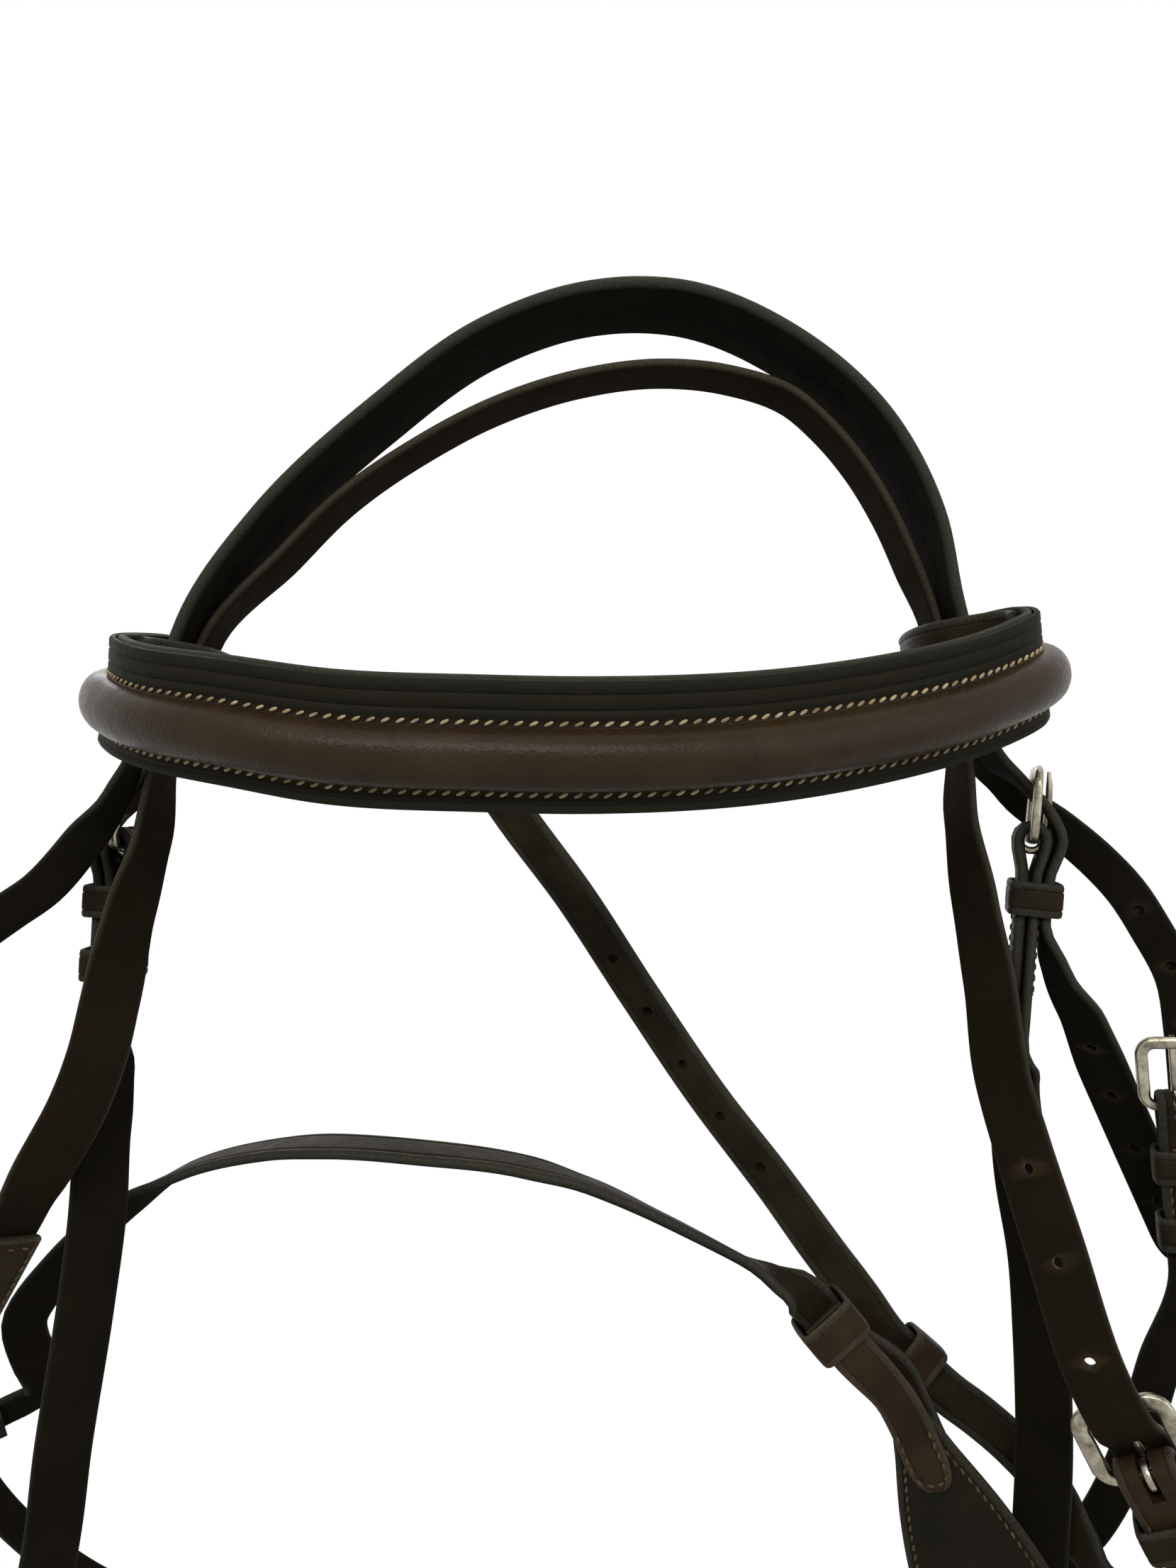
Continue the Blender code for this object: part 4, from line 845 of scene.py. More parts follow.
def headpiece():
    """The crown, with a cheek billet and a throat strap split from each side, as one leather."""
    crown_shares = (
        (-1.038, -0.643), (-0.71, -0.335), (-0.40, -0.112), (-0.12, -0.014), (0.02, 0),
        (0.16, -0.01), (0.475, -0.141), (0.722, -0.358), (0.871, -0.638))
    rise = Vector((0, 0, CROWN_LEATHER / 2))
    back = Vector((0, 1, 0))
    foot = BROWBAND_HEIGHT / 2 + SPLIT_LAP / 2
    head = BROWBAND_HEIGHT / 2 + GAP
    stations = [(LOOP_LEFT.at(0, -foot, 0), back), (LOOP_LEFT.at(0, head, 0), back),
                (LOOP_LEFT.at(0, head + CROWN_LEATHER, 0), back)]
    stations += [(spot(x, 0, z) + rise, back) for x, z in crown_shares]
    stations += [(LOOP_RIGHT.at(0, head + CROWN_LEATHER, 0), back),
                 (LOOP_RIGHT.at(0, head, 0), back), (LOOP_RIGHT.at(0, -foot, 0), back)]
    crown = ribbon("headpiece", Route(stations), CROWN_WIDTH, CROWN_LEATHER)
    

    front = -(CROWN_WIDTH / 2 - SPLIT_INSET)

    def start(loop, middle):
        """Where a split begins, inside the foot of the crown."""
        into = (foot - SPLIT_LAP, foot + GAP)
        return [(loop.at(0, -up, 0) + back * middle, back) for up in into]

    cheek_split = CHEEK_LEATHER
    throat_split = THROAT_LEATHER
    near_billet = start(LOOP_RIGHT, front + CHEEK_WIDTH / 2)
    near_billet += stations_of(((1.070, -0.07, -1.325, 0, 1, 0),))
    near_billet += billet_stations(NEAR_CHEEK, CHEEK_LEATHER, cheek_split, NEAR_BILLET)
    near_tail_shares = (
        (1.222, -0.09, -1.90, -0.05, 0.99, -0.02), (1.318, -0.04, -2.05, -0.40, 0.90, -0.12),
        (1.430, 0.05, -2.25, -0.60, 0.77, -0.24), (1.588, 0.11, -2.56, -0.64, 0.73, -0.27),
        (1.725, 0.15, -2.84, -0.64, 0.73, -0.27))
    near_billet += stations_of(near_tail_shares)
    near_route = Route(near_billet)
    near = ribbon("near_cheek_billet", near_route, CHEEK_WIDTH, cheek_split,
                  point_end=True)
    first = near_route.length - HOLE_PITCH * FIRST_HOLE_SHARE
    holes = [near_route.place(first - HOLE_PITCH * n) for n in range(4)]
    drill("near_billet_holes", near, holes, cheek_split)
    billet_slot(near, NEAR_CHEEK)
    cut(crown, near, "UNION")

    off_billet = start(LOOP_LEFT, -front - CHEEK_WIDTH / 2)
    off_billet += facing(billet_stations(OFF_CHEEK, CHEEK_LEATHER, cheek_split, OFF_BILLET), back)
    off_route = Route(off_billet)
    off = ribbon("off_cheek_billet", off_route, CHEEK_WIDTH, cheek_split, point_end=True)
    billet_slot(off, OFF_CHEEK)
    cut(crown, off, "UNION")

    near_throat = start(LOOP_RIGHT, -front - THROAT_WIDTH / 2)
    near_throat_shares = (
        (1.14, 0.128, -1.375, -0.20, 0.92, -0.20), (1.235, 0.15, -1.445, -0.40, 0.68, -0.55),
        (1.332, 0.15, -1.517, -0.50, 0.50, -0.70), (1.425, 0.125, -1.602, -0.60, 0.45, -0.66),
        (1.509, 0.10, -1.70, -0.70, 0.42, -0.55), (1.583, 0.09, -1.82, -0.80, 0.42, -0.38),
        (1.655, 0.085, -1.96, -0.88, 0.42, -0.18), (1.685, 0.09, -2.125, -0.9, 0.4, 0),
        (1.705, 0.10, -2.30, -0.9, 0.4, 0), (1.73, 0.12, -2.52, -0.9, 0.4, 0))
    near_throat += stations_of(near_throat_shares)
    throat_route = Route(near_throat)
    throat = ribbon("near_throat_billet", throat_route, THROAT_WIDTH, throat_split,
                    point_end=True)
    first = throat_route.length - HOLE_PITCH * FIRST_HOLE_SHARE
    holes = [throat_route.place(first - HOLE_PITCH * n) for n in range(4)]
    drill("near_throat_holes", throat, holes, throat_split)
    cut(crown, throat, "UNION")

    long_throat = start(LOOP_LEFT, front + THROAT_WIDTH / 2)
    long_throat_shares = (
        (-1.445, -0.11, -1.415, 0.3, 0.9, 0), (-1.55, -0.10, -1.55, 0.6, 0.6, -0.5),
        (-1.68, -0.06, -1.68, 0.7, 0.35, -0.6), (-1.80, -0.02, -1.755, 0.6, 0.3, -0.7),
        (-1.93, 0.03, -1.84, 0.6, 0.3, -0.7), (-2.13, 0.12, -2.05, 0.7, 0.5, -0.5),
        (-2.25, 0.22, -2.40, 0.6, 0.8, -0.1), (-2.33, 0.40, -2.95, 0.5, 0.85, 0.1),
        (-2.36, 0.65, -3.55, 0.4, 0.85, 0.3), (-2.24, 0.92, -4.12, 0.3, 0.8, 0.5),
        (-1.94, 1.12, -4.52, 0.25, 0.8, 0.55),
        (-1.30, 1.28, -4.78, 0.2, 0.8, 0.6), (-0.20, 1.35, -4.92, 0, 0.8, 0.6),
        (0.85, 1.22, -4.78, -0.3, 0.8, 0.5), (1.38, 0.86, -4.32, -0.6, 0.75, 0.4),
        (1.52, 0.42, -3.85, -0.8, 0.5, 0.3), (1.568, 0.17, -3.41, -0.9, 0.4, 0.1),
        (1.565, 0.00, -3.07, -0.95, 0.3, 0))
    long_throat += stations_of(long_throat_shares)
    throat_fold = fold_stations(THROAT, fold_radius(throat_split), throat_split, FOLD_CLOSE,
                                FREE_FOLD)
    long_throat += facing(throat_fold, (-1, 0, 0))
    long_route = Route(long_throat)
    lash = ribbon("off_throat_strap", long_route, THROAT_WIDTH, throat_split)
    tongue_slot(lash, THROAT, throat_split)
    cut(crown, lash, "UNION")
    finish_with(crown, "headpiece", "dark_leather")


def headstall():
    """The noseband's headstall: one strap from the off ring over the head to the near buckle."""
    stations, neck = ring_fold(ring_spot(OFF_RING, 0), HEADSTALL_LEATHER, HEADSTALL_WIDTH,
                               RING_FOLD, (-1, -0.5, 0))
    off_run_shares = (
        (-1.604, -0.20, -2.427, -0.85, -0.45, 0.28),
        (-1.53, -0.19, -2.29, -0.93, -0.25, 0.27), (-1.475, -0.17, -2.13, -0.93, -0.30, 0.20),
        (-1.45, -0.15, -1.996, -0.88, -0.42, 0.20), (-1.41, -0.11, -1.75, -0.60, -0.78, 0.15),
        (-1.365, -0.06, -1.543, -0.30, -0.95, 0.10))
    stations += stations_of(off_run_shares)
    inside = (CROWN_LEATHER + HEADSTALL_LEATHER) / 2 + RUNNING_GAP
    edge = BROWBAND_HEIGHT / 2 + RUNNING_GAP
    forward = Vector((0, -1, 0))
    levels = (-edge, HEADSTALL_LEATHER - edge, edge - HEADSTALL_LEATHER, edge)
    stations += [(LOOP_LEFT.at(0, up, -inside), forward) for up in levels]
    arch_shares = (
        (-0.985, 0, -0.72), (-0.83, 0, -0.565), (-0.59, 0, -0.398),
        (-0.39, 0, -0.293), (-0.13, 0, -0.208), (0.10, 0, -0.179), (0.30, 0, -0.198),
        (0.485, 0, -0.263), (0.572, 0, -0.338), (0.668, 0, -0.45), (0.757, 0, -0.595),
        (0.828, 0, -0.752))
    stations += [(spot(*row), forward + Vector((row[0], 0, 1)) * ARCH_TILT_SHARE)
                 for row in arch_shares]
    stations += [(LOOP_RIGHT.at(0, -up, -inside), forward) for up in levels]
    near_run_shares = (
        (0.965, -0.05, -1.47, 0.20, -0.97, 0),
        (0.992, -0.09, -1.71, 0.50, -0.85, 0.10), (1.022, -0.13, -1.946, 0.66, -0.74, 0.15),
        (1.052, -0.15, -2.212, 0.76, -0.62, 0.20), (1.084, -0.20, -2.369, 0.80, -0.54, 0.25),
        (1.138, -0.28, -2.604, 0.85, -0.42, 0.32))
    stations += stations_of(near_run_shares)
    billet = billet_stations(HEADSTALL_BUCKLE, HEADSTALL_LEATHER, HEADSTALL_LEATHER, NEAR_BILLET)
    above = HEADSTALL_BUCKLE.at(0, BUCKLE_LENGTH * 1.55, -fold_radius(HEADSTALL_LEATHER))
    stations += [(above, -HEADSTALL_BUCKLE.across)]
    stations += facing(billet, -HEADSTALL_BUCKLE.across)
    route = Route(stations)
    strap = ribbon("noseband_headstall", route, HEADSTALL_WIDTH, HEADSTALL_LEATHER,
                   point_end=True, necks=[route.run_near(neck)])
    finish_with(strap, "noseband_headstall", "brown_leather")
    billet_slot(strap, HEADSTALL_BUCKLE)
    above_run = route.run_near(above)
    first = above_run - HEADSTALL_LEATHER * 2
    holes = [route.place(first - HEADSTALL_HOLE_PITCH * n) for n in range(3)]
    drill("headstall_holes", strap, holes, HEADSTALL_LEATHER)


def near_chape():
    """The short strap between the near ring and the headstall's buckle."""
    at_ring = ring_spot(NEAR_RING, 0)
    radius = ring_fold_radius(HEADSTALL_LEATHER, HEADSTALL_WIDTH)
    low = turned(fold_stations(at_ring, radius, HEADSTALL_LEATHER, FOLD_CLOSE, SHORT_FOLD - GAP,
                               run_on=False))
    high = fold_stations(HEADSTALL_BUCKLE, fold_radius(HEADSTALL_LEATHER), HEADSTALL_LEATHER,
                         FOLD_CLOSE, SHORT_FOLD - GAP, run_on=False)
    route = Route(facing(low + high, HEADSTALL_BUCKLE.across))
    strap = ribbon("near_noseband_chape", route, HEADSTALL_WIDTH, HEADSTALL_LEATHER,
                   necks=[route.run_near(at_ring.at(0, radius, 0))])
    finish_with(strap, "near_noseband_chape", "brown_leather")
    tongue_slot(strap, HEADSTALL_BUCKLE, HEADSTALL_LEATHER)


def cheekpiece(label, place, run_shares, foot_share):
    """A cheekpiece: turned round its buckle above, and up again as the bit loop below."""
    foot = Place(spot(*foot_share[:3]), foot_share[3:6], foot_share[6:9])
    top = fold_stations(place, fold_radius(CHEEK_LEATHER), CHEEK_LEATHER, FOLD_CLOSE, CHEEK_FOLD)
    stations = turned(top)
    stations += stations_of(run_shares)
    down = Place(foot.origin, -foot.up, foot.out)
    bottom = fold_stations(down, BIT_LOOP_RADIUS, CHEEK_LEATHER, FOLD_CLOSE * 2, BIT_LOOP_RETURN)
    stations += facing(bottom, stations[-1][1])
    strap = ribbon(f"{label}_cheekpiece", Route(stations), CHEEK_WIDTH, CHEEK_LEATHER,
                   point_end=True)
    finish_with(strap, f"{label}_cheekpiece", "dark_leather")
    tongue_slot(strap, place, CHEEK_LEATHER)
    stud = Place(down.at(0, -BIT_LOOP_RETURN + TIP_LENGTH, 0), down.up, down.out)
    drill(f"{label}_stud_hole", strap, [stud], 3 * CHEEK_LEATHER, STUD_SHANK + 2 * GAP)
    bit_stud(f"{label}_bit_stud", stud)


def nose_straps():
    """The two long straps that cross on the nose, and the jaw strap's two halves."""
    e_stations, e_neck = ring_fold(ring_spot(OFF_RING, -60), NOSE_LEATHER, NOSE_WIDTH,
                                   SHORT_FOLD, (0.8, 0.4, -0.5))
    e_shares = (
        (-1.845, 0.19, -3.02, 0.74, 0.42, -0.50), (-1.735, 0.21, -2.87, 0.74, 0.48, -0.48),
        (-1.57, 0.23, -2.71, 0.54, 0.76, -0.30), (-1.36, 0.20, -2.58, 0.22, 0.95, 0.06),
        (-1.058, 0.12, -2.486, 0.05, 0.99, 0.06), (-0.84, 0.01, -2.444, 0, 0.99, 0.12),
        (-0.60, -0.05, -2.442, 0, 0.99, 0.13), (-0.28, -0.10, -2.47, 0.03, 1, 0.05),
        (-0.11, -0.12, -2.514, 0.06, 0.97, -0.16), (0.115, -0.13, -2.613, 0.10, 0.94, -0.30),
        (0.324, -0.125, -2.724, 0.12, 0.92, -0.38),
        (0.44, -0.11, -2.795, 0.42, 0.88, -0.10), (0.53, -0.07, -2.868, 0.82, 0.24, 0.46),
        (0.62, -0.05, -2.975, 0.84, 0.05, 0.54))
    e_stations += stations_of(e_shares)
    behind = PAD_LEATHER / 2 + PASS_GAP + NOSE_LEATHER / 2
    for up_share, out in ((0.62, -NOSE_LEATHER / 2), (0.47, -behind), (0.34, -behind),
                          (0, -behind)):
        e_stations += [(PAD.at(0, up_share * PAD_LENGTH, out), PAD.across)]
    e_stations += stations_of(((0.955, 0.08, -3.64, 0.95, -0.20, 0.1),))
    chin = fold_stations(CHIN, fold_radius(NOSE_LEATHER), NOSE_LEATHER, FOLD_CLOSE, FREE_FOLD)
    e_stations += facing(chin, (1, 0, 0))
    e_route = Route(e_stations)
    e_strap = ribbon("off_nose_strap", e_route, NOSE_WIDTH, NOSE_LEATHER,
                     necks=[e_route.run_near(e_neck)])
    finish_with(e_strap, "off_nose_strap", "dark_leather")
    tongue_slot(e_strap, CHIN, NOSE_LEATHER)

    f_stations, f_neck = ring_fold(ring_spot(NEAR_RING, 76, 52), NOSE_LEATHER, NOSE_WIDTH,
                                   SHORT_FOLD, (0, 0, 1))
    f_shares = (
        (1.345, 0.04, -3.62, 0.10, 0.15, 0.95), (1.28, 0.125, -3.50, 0.35, 0.25, 0.85),
        (1.19, 0.135, -3.40, 0.50, 0.20, 0.80),
        (1.07, 0.115, -3.29, 0.60, 0.15, 0.78), (0.97, 0.095, -3.21, 0.66, 0.10, 0.74),
        (0.883, 0.088, -3.13, 0.70, 0.08, 0.71), (0.797, 0.080, -3.05, 0.72, 0.08, 0.70),
        (0.697, 0.06, -2.91, 0.76, 0.08, 0.64),
        (0.592, 0.055, -2.77, 0.77, -0.10, 0.62), (0.445, 0.06, -2.568, 0.75, -0.30, 0.58),
        (0.253, 0.07, -2.32, 0.73, -0.40, 0.55), (0.039, 0.07, -2.005, 0.74, -0.42, 0.52),
        (-0.155, 0.05, -1.706, 0.73, -0.40, 0.55), (-0.323, 0.03, -1.478, 0.70, -0.36, 0.60),
        (-0.445, 0, -1.295, 0.70, -0.34, 0.62))
    f_stations += stations_of(f_shares)
    f_route = Route(f_stations)
    f_strap = ribbon("near_nose_strap", f_route, NOSE_WIDTH, NOSE_LEATHER, point_end=True,
                     necks=[f_route.run_near(f_neck)])
    finish_with(f_strap, "near_nose_strap", "dark_leather")
    first = f_route.length - HOLE_PITCH * NOSE_FIRST_HOLE_SHARE
    holes = [f_route.place(first - HOLE_PITCH * n) for n in range(5)]
    drill("nose_strap_holes", f_strap, holes, NOSE_LEATHER)

    billet, billet_neck = ring_fold(ring_spot(NEAR_RING, 165, 40), NOSE_LEATHER, NOSE_WIDTH,
                                    SHORT_FOLD, (1, 0, 0))
    jaw_billet_shares = (
        (1.72, 0.00, -4.10, 0.90, -0.20, 0.20), (1.60, 0.35, -4.26, 0.70, 0.50, 0.35))
    billet += stations_of(jaw_billet_shares)
    done_up = billet_stations(JAW, NOSE_LEATHER, NOSE_LEATHER, JAW_BILLET)
    billet += facing(done_up, (0.7, 0.5, 0.4))
    billet_route = Route(billet)
    jaw_billet = ribbon("jaw_strap_billet", billet_route, NOSE_WIDTH, NOSE_LEATHER,
                        point_end=True, necks=[billet_route.run_near(billet_neck)])
    finish_with(jaw_billet, "jaw_strap_billet", "dark_leather")
    billet_slot(jaw_billet, JAW)

    long_half, jaw_neck = ring_fold(ring_spot(OFF_RING, -165), NOSE_LEATHER, NOSE_WIDTH,
                                    SHORT_FOLD, (-0.5, -0.8, 0))
    jaw_shares = (
        (-2.24, 0.30, -3.95, -0.55, -0.75, -0.2), (-2.13, 0.52, -4.24, -0.40, -0.75, -0.5),
        (-1.78, 0.78, -4.50, -0.2, -0.7, -0.7), (-1.15, 0.97, -4.66, 0, -0.7, -0.7),
        (-0.45, 1.10, -4.74, 0, -0.7, -0.7), (0.25, 1.08, -4.74, 0, -0.7, -0.7))
    long_half += stations_of(jaw_shares)
    jaw_fold = fold_stations(JAW, fold_radius(NOSE_LEATHER), NOSE_LEATHER, FOLD_CLOSE, FREE_FOLD)
    long_half += facing(jaw_fold, (0, -0.7, -0.7))
    jaw_route = Route(long_half)
    jaw_strap = ribbon("jaw_strap", jaw_route, NOSE_WIDTH, NOSE_LEATHER,
                       necks=[jaw_route.run_near(jaw_neck)])
    finish_with(jaw_strap, "jaw_strap", "dark_leather")
    tongue_slot(jaw_strap, JAW, NOSE_LEATHER)
    ring_stitches("off_nose_strap", ring_spot(OFF_RING, -60), NOSE_LEATHER, NOSE_WIDTH, SHORT_FOLD)
    ring_stitches("near_nose_strap", ring_spot(NEAR_RING, 76, 52), NOSE_LEATHER, NOSE_WIDTH,
                  SHORT_FOLD)
    ring_stitches("jaw_strap_billet", ring_spot(NEAR_RING, 165, 40), NOSE_LEATHER, NOSE_WIDTH,
                  SHORT_FOLD)
    ring_stitches("jaw_strap", ring_spot(OFF_RING, -165), NOSE_LEATHER, NOSE_WIDTH, SHORT_FOLD)
    return e_route, f_route


def crossover(e_route, f_route):
    """The sewn tab on the pad's face, and the two sleeves on the tab."""
    face = PAD_LEATHER / 2 + GAP + TAB_LEATHER / 2
    tab_stations = [(PAD.at(0, PAD_LENGTH * TAB_FOOT_SHARE, face), PAD.across),
                    (PAD.at(0, PAD_LENGTH * 0.42, face), PAD.across),
                    (PAD.at(0, PAD_LENGTH * 0.50, face + PASS_GAP), PAD.across)]
    e_at = e_route.place(e_route.run_near(spot(0.59, -0.06, -2.93)))
    before = -(NOSE_LEATHER / 2 + PASS_GAP + TAB_LEATHER / 2)
    tab_stations += [(e_at.at(0, CROSS_KEEPER_LENGTH * 0.6, before), e_at.across),
                     (e_at.at(0, -CROSS_KEEPER_LENGTH * 0.4, before), e_at.across)]
    tab = ribbon("crossover_tab", Route(tab_stations), TAB_WIDTH, TAB_LEATHER, point_start=True)
    finish_with(tab, "crossover_tab", "brown_leather")
    rise = face + TAB_LEATHER / 2 - 0.05 * MM
    edge = TAB_WIDTH / 2 - 1.7 * MM
    low, high = PAD_LENGTH * 0.16 + 5.5 * MM, PAD_LENGTH * 0.40
    for side in (-edge, edge):
        sew("crossover_tab", row_of_stitches(PAD.at(side, low, rise), PAD.at(side, high, rise),
                                             PAD.out))
    turns = [math.pi * n / 8 for n in range(9)]
    bend = [PAD.at(edge * math.cos(turn), low - 3.5 * MM * math.sin(turn), rise) for turn in turns]
    sew("crossover_tab", stitches_on_line(bend, PAD.out))

    keeper("nose_sleeve_upper", e_at, TAB_WIDTH, -K1_FRONT, K1_BACK, CROSS_KEEPER_LENGTH,
           "brown_leather")
    f_at = f_route.place(f_route.run_near(spot(0.87, 0.04, -3.11)))
    keeper("nose_sleeve_lower", f_at, NOSE_WIDTH, -K2_DEPTH / 2, K2_DEPTH / 2,
           CROSS_KEEPER_LENGTH, "brown_leather")


def browband():
    """The browband's backing with a loop at each end, and the padded cover on its face."""
    inner = CROWN_LEATHER / 2 + RUNNING_GAP + BACKING_LEATHER / 2
    stack = (CROWN_LEATHER / 2 + HEADSTALL_LEATHER + 2 * RUNNING_GAP + RUNNING_GAP
             + BACKING_LEATHER / 2)
    back_edge = CROWN_WIDTH / 2 + RUNNING_GAP
    front_shares = (
        (-1.355, -0.28, -1.12, 0.31, -0.28, 0.91), (-1.27, -0.52, -1.16, 0.22, -0.40, 0.89),
        (-1.112, -0.72, -1.205, 0.14, -0.40, 0.91), (-0.90, -0.85, -1.241, 0.07, -0.34, 0.94),
        (-0.66, -0.92, -1.279, 0.03, -0.30, 0.95), (-0.34, -0.945, -1.294, 0, -0.30, 0.95),
        (-0.11, -0.945, -1.298, 0, -0.30, 0.95), (0.23, -0.88, -1.282, -0.03, -0.29, 0.95),
        (0.52, -0.76, -1.24, -0.07, -0.27, 0.95), (0.83, -0.60, -1.164, -0.12, -0.28, 0.95),
        (1.03, -0.42, -1.084, -0.18, -0.26, 0.94), (1.075, -0.24, -1.045, -0.22, -0.15, 0.96))
    back = Vector((0, 1, 0))

    face = [(LOOP_LEFT.at(0, 0, inner), LOOP_LEFT.up)] + stations_of(front_shares)
    face += [(LOOP_RIGHT.at(0, 0, inner), LOOP_RIGHT.up)]
    cover_route = Route(face)

    def end_loop(loop, seams):
        """From the face at the crown, round behind it and forward to the seam."""
        middle = (inner - stack) / 2
        radius = (inner + stack) / 2
        rows = []
        for step in range(FOLD_ARC_STEPS + 1):
            angle = math.pi * step / FOLD_ARC_STEPS
            rows.append((loop.at(0, 0, middle + radius * math.cos(angle))
                         + back * (back_edge + radius * math.sin(angle)), loop.up))
        rows.append((loop.at(0, 0, -stack) - back * back_edge, loop.up))
        for run in seams:
            here = cover_route.place(run)
            rows.append((here.at(0, 0, BACKING_LEATHER + PASS_GAP), here.across))
        return rows

    seam = (LOOP_RETURN, LOOP_RETURN + LOOP_SEAM / 2, LOOP_RETURN + LOOP_SEAM)
    left_end = turned(end_loop(LOOP_LEFT, seam))
    right_end = end_loop(LOOP_RIGHT, [cover_route.length - run for run in seam])
    route = Route(left_end + face + right_end)
    backing = ribbon("browband_backing", route, BROWBAND_HEIGHT, BACKING_LEATHER)
    finish_with(backing, "browband_backing", "dark_leather")
    first, last = route.run_of(len(left_end)), route.run_of(len(left_end) + len(face) - 1)
    padded_cover(route, first, last)


def hardware():
    """Every buckle, ring and keeper."""
    buckle("near_cheek", NEAR_CHEEK, CHEEK_WIDTH)
    buckle("off_cheek", OFF_CHEEK, CHEEK_WIDTH)
    buckle("headstall", HEADSTALL_BUCKLE, HEADSTALL_WIDTH)
    buckle("throat", THROAT, THROAT_WIDTH)
    buckle("jaw", JAW, NOSE_WIDTH)
    buckle("chin", CHIN, NOSE_WIDTH)
    ring("near_noseband_ring", NEAR_RING)
    ring("off_noseband_ring", OFF_RING)

    def stack(leather, billet):
        low = -(leather + GAP / 2)
        high = leather + GAP / 2
        return low, high + (2 * GAP + billet if billet else 0)

    def along(place, down):
        return Place(place.at(0, -down, 0), place.up, place.out)

    first = FOLD_CLOSE + KEEPER_LENGTH / 2
    second = first + 2 * KEEPER_LENGTH
    low, high = stack(CHEEK_LEATHER, CHEEK_LEATHER)
    keeper("near_cheek_keeper", along(NEAR_CHEEK, first), CHEEK_WIDTH, low, high)
    keeper("off_cheek_keeper", along(OFF_CHEEK, first), CHEEK_WIDTH, low, high)
    keeper("off_cheek_runner", along(OFF_CHEEK, second), CHEEK_WIDTH, low, high)
    keeper("headstall_keeper", along(HEADSTALL_BUCKLE, first), HEADSTALL_WIDTH, low, high)
    low, high = stack(NOSE_LEATHER, NOSE_LEATHER)
    keeper("jaw_keeper", along(JAW, first), NOSE_WIDTH, low, high)
    keeper("jaw_runner", along(JAW, second), NOSE_WIDTH, low, high)
    low, high = stack(NOSE_LEATHER, 0)
    keeper("chin_keeper", along(CHIN, first), NOSE_WIDTH, low, high)
    keeper("chin_runner", along(CHIN, second), NOSE_WIDTH, low, high)
    low, high = stack(THROAT_LEATHER, 0)
    keeper("throat_keeper", along(THROAT, first), THROAT_WIDTH, low, high)
    keeper("throat_runner", along(THROAT, second), THROAT_WIDTH, low, high)


def both_cheekpieces():
    """Both cheekpieces, each on its own run of shares."""
    near_run_shares = (
        (1.138, -0.02, -2.20, -0.45, 0.88, 0),
        (1.165, 0.01, -2.53, -0.85, 0.50, 0), (1.21, 0.02, -2.79, -0.87, 0.48, 0),
        (1.22, 0.01, -3.00, -0.87, 0.48, 0), (1.225, 0, -3.27, -0.87, 0.48, 0))
    cheekpiece("near", NEAR_CHEEK, near_run_shares,
               (1.215, 0, -4.37, -0.02, 0, 1, 0.48, 0.87, 0))
    off_run_shares = (
        (-1.525, 0.06, -2.22, -0.35, -0.90, 0), (-1.53, 0.0, -2.40, -0.75, -0.62, 0),
        (-1.525, -0.05, -2.62, -0.85, -0.50, 0), (-1.56, -0.05, -2.89, -0.85, -0.50, 0),
        (-1.63, -0.04, -3.31, -0.85, -0.50, 0))
    cheekpiece("off", OFF_CHEEK, off_run_shares,
               (-1.77, 0, -4.14, 0.17, 0, 0.985, -0.50, 0.85, 0.08))


def leaf_outline():
    """The nose pad's half widths down its length, smoothed through its outline shares."""
    shares = ((0.06, 0.50), (0.24, 0.43), (0.45, 0.27), (0.72, 0.05), (0.92, -0.18),
              (1.00, -0.34), (0.90, -0.46), (0.50, -0.50))
    knots = [Vector((x * PAD_WIDTH / 2, y * PAD_LENGTH, 0)) for x, y in shares]
    samples = []
    for index in range(len(knots) - 1):
        samples += [hermite(knots, index, step / 6) for step in range(6)]
    return samples + [knots[-1]]


def nose_pad():
    """The leaf pad on the nose: two leathers with a soft filling and a creased, stitched rim."""
    rows = []
    for half, up, _flat in leaf_outline():
        swell = PAD_LEATHER * (0.82 + 0.18 * min(1, half / (PAD_WIDTH / 4)))
        ring = []
        for a, o, e, f in strap_section(half, swell, 1):
            ring.append((PAD.at(a, up, o), a, e, f))
        rows.append((up, ring))
    rows.reverse()
    pad = skin("nose_pad_leaf", rows)
    finish_with(pad, "nose_pad", "padded_leather")
    pad.data.materials[0] = bpy.data.materials["nose_pad_leather"]
    rim = []
    out = PAD.out
    for side in (1, -1):
        samples = leaf_outline()
        for (wa, ya, _), (wb, yb, _) in zip(samples, samples[1:]):
            inset = 3.0 * MM
            if min(wa, wb) > inset * 1.4:
                start = PAD.at(side * (wa - inset), ya, PAD_LEATHER / 2 - 0.05 * MM)
                end = PAD.at(side * (wb - inset), yb, PAD_LEATHER / 2 - 0.05 * MM)
                rim.append((start, end))
    sew("nose_pad", stitches_on_line([start for start, end in rim[:len(rim) // 2]], out))
    sew("nose_pad", stitches_on_line([start for start, end in rim[len(rim) // 2:]], out))


def stitches_on_line(points, out):
    """Stitches at the set pitch along a bent line on a face that looks along out."""
    pitch = look().stitch_pitch
    made, spare = [], pitch / 2
    for start, end in zip(points, points[1:]):
        length = (end - start).length
        while spare < length:
            made.append(thread_stitch(start.lerp(end, spare / length), end - start, out, 0.22))
            spare += pitch
        spare -= length
    return made


ROLL_TOP, ROLL_FOOT = ROLL_WIDTH / 2 - ROLL_SHIFT, -ROLL_WIDTH / 2 - ROLL_SHIFT


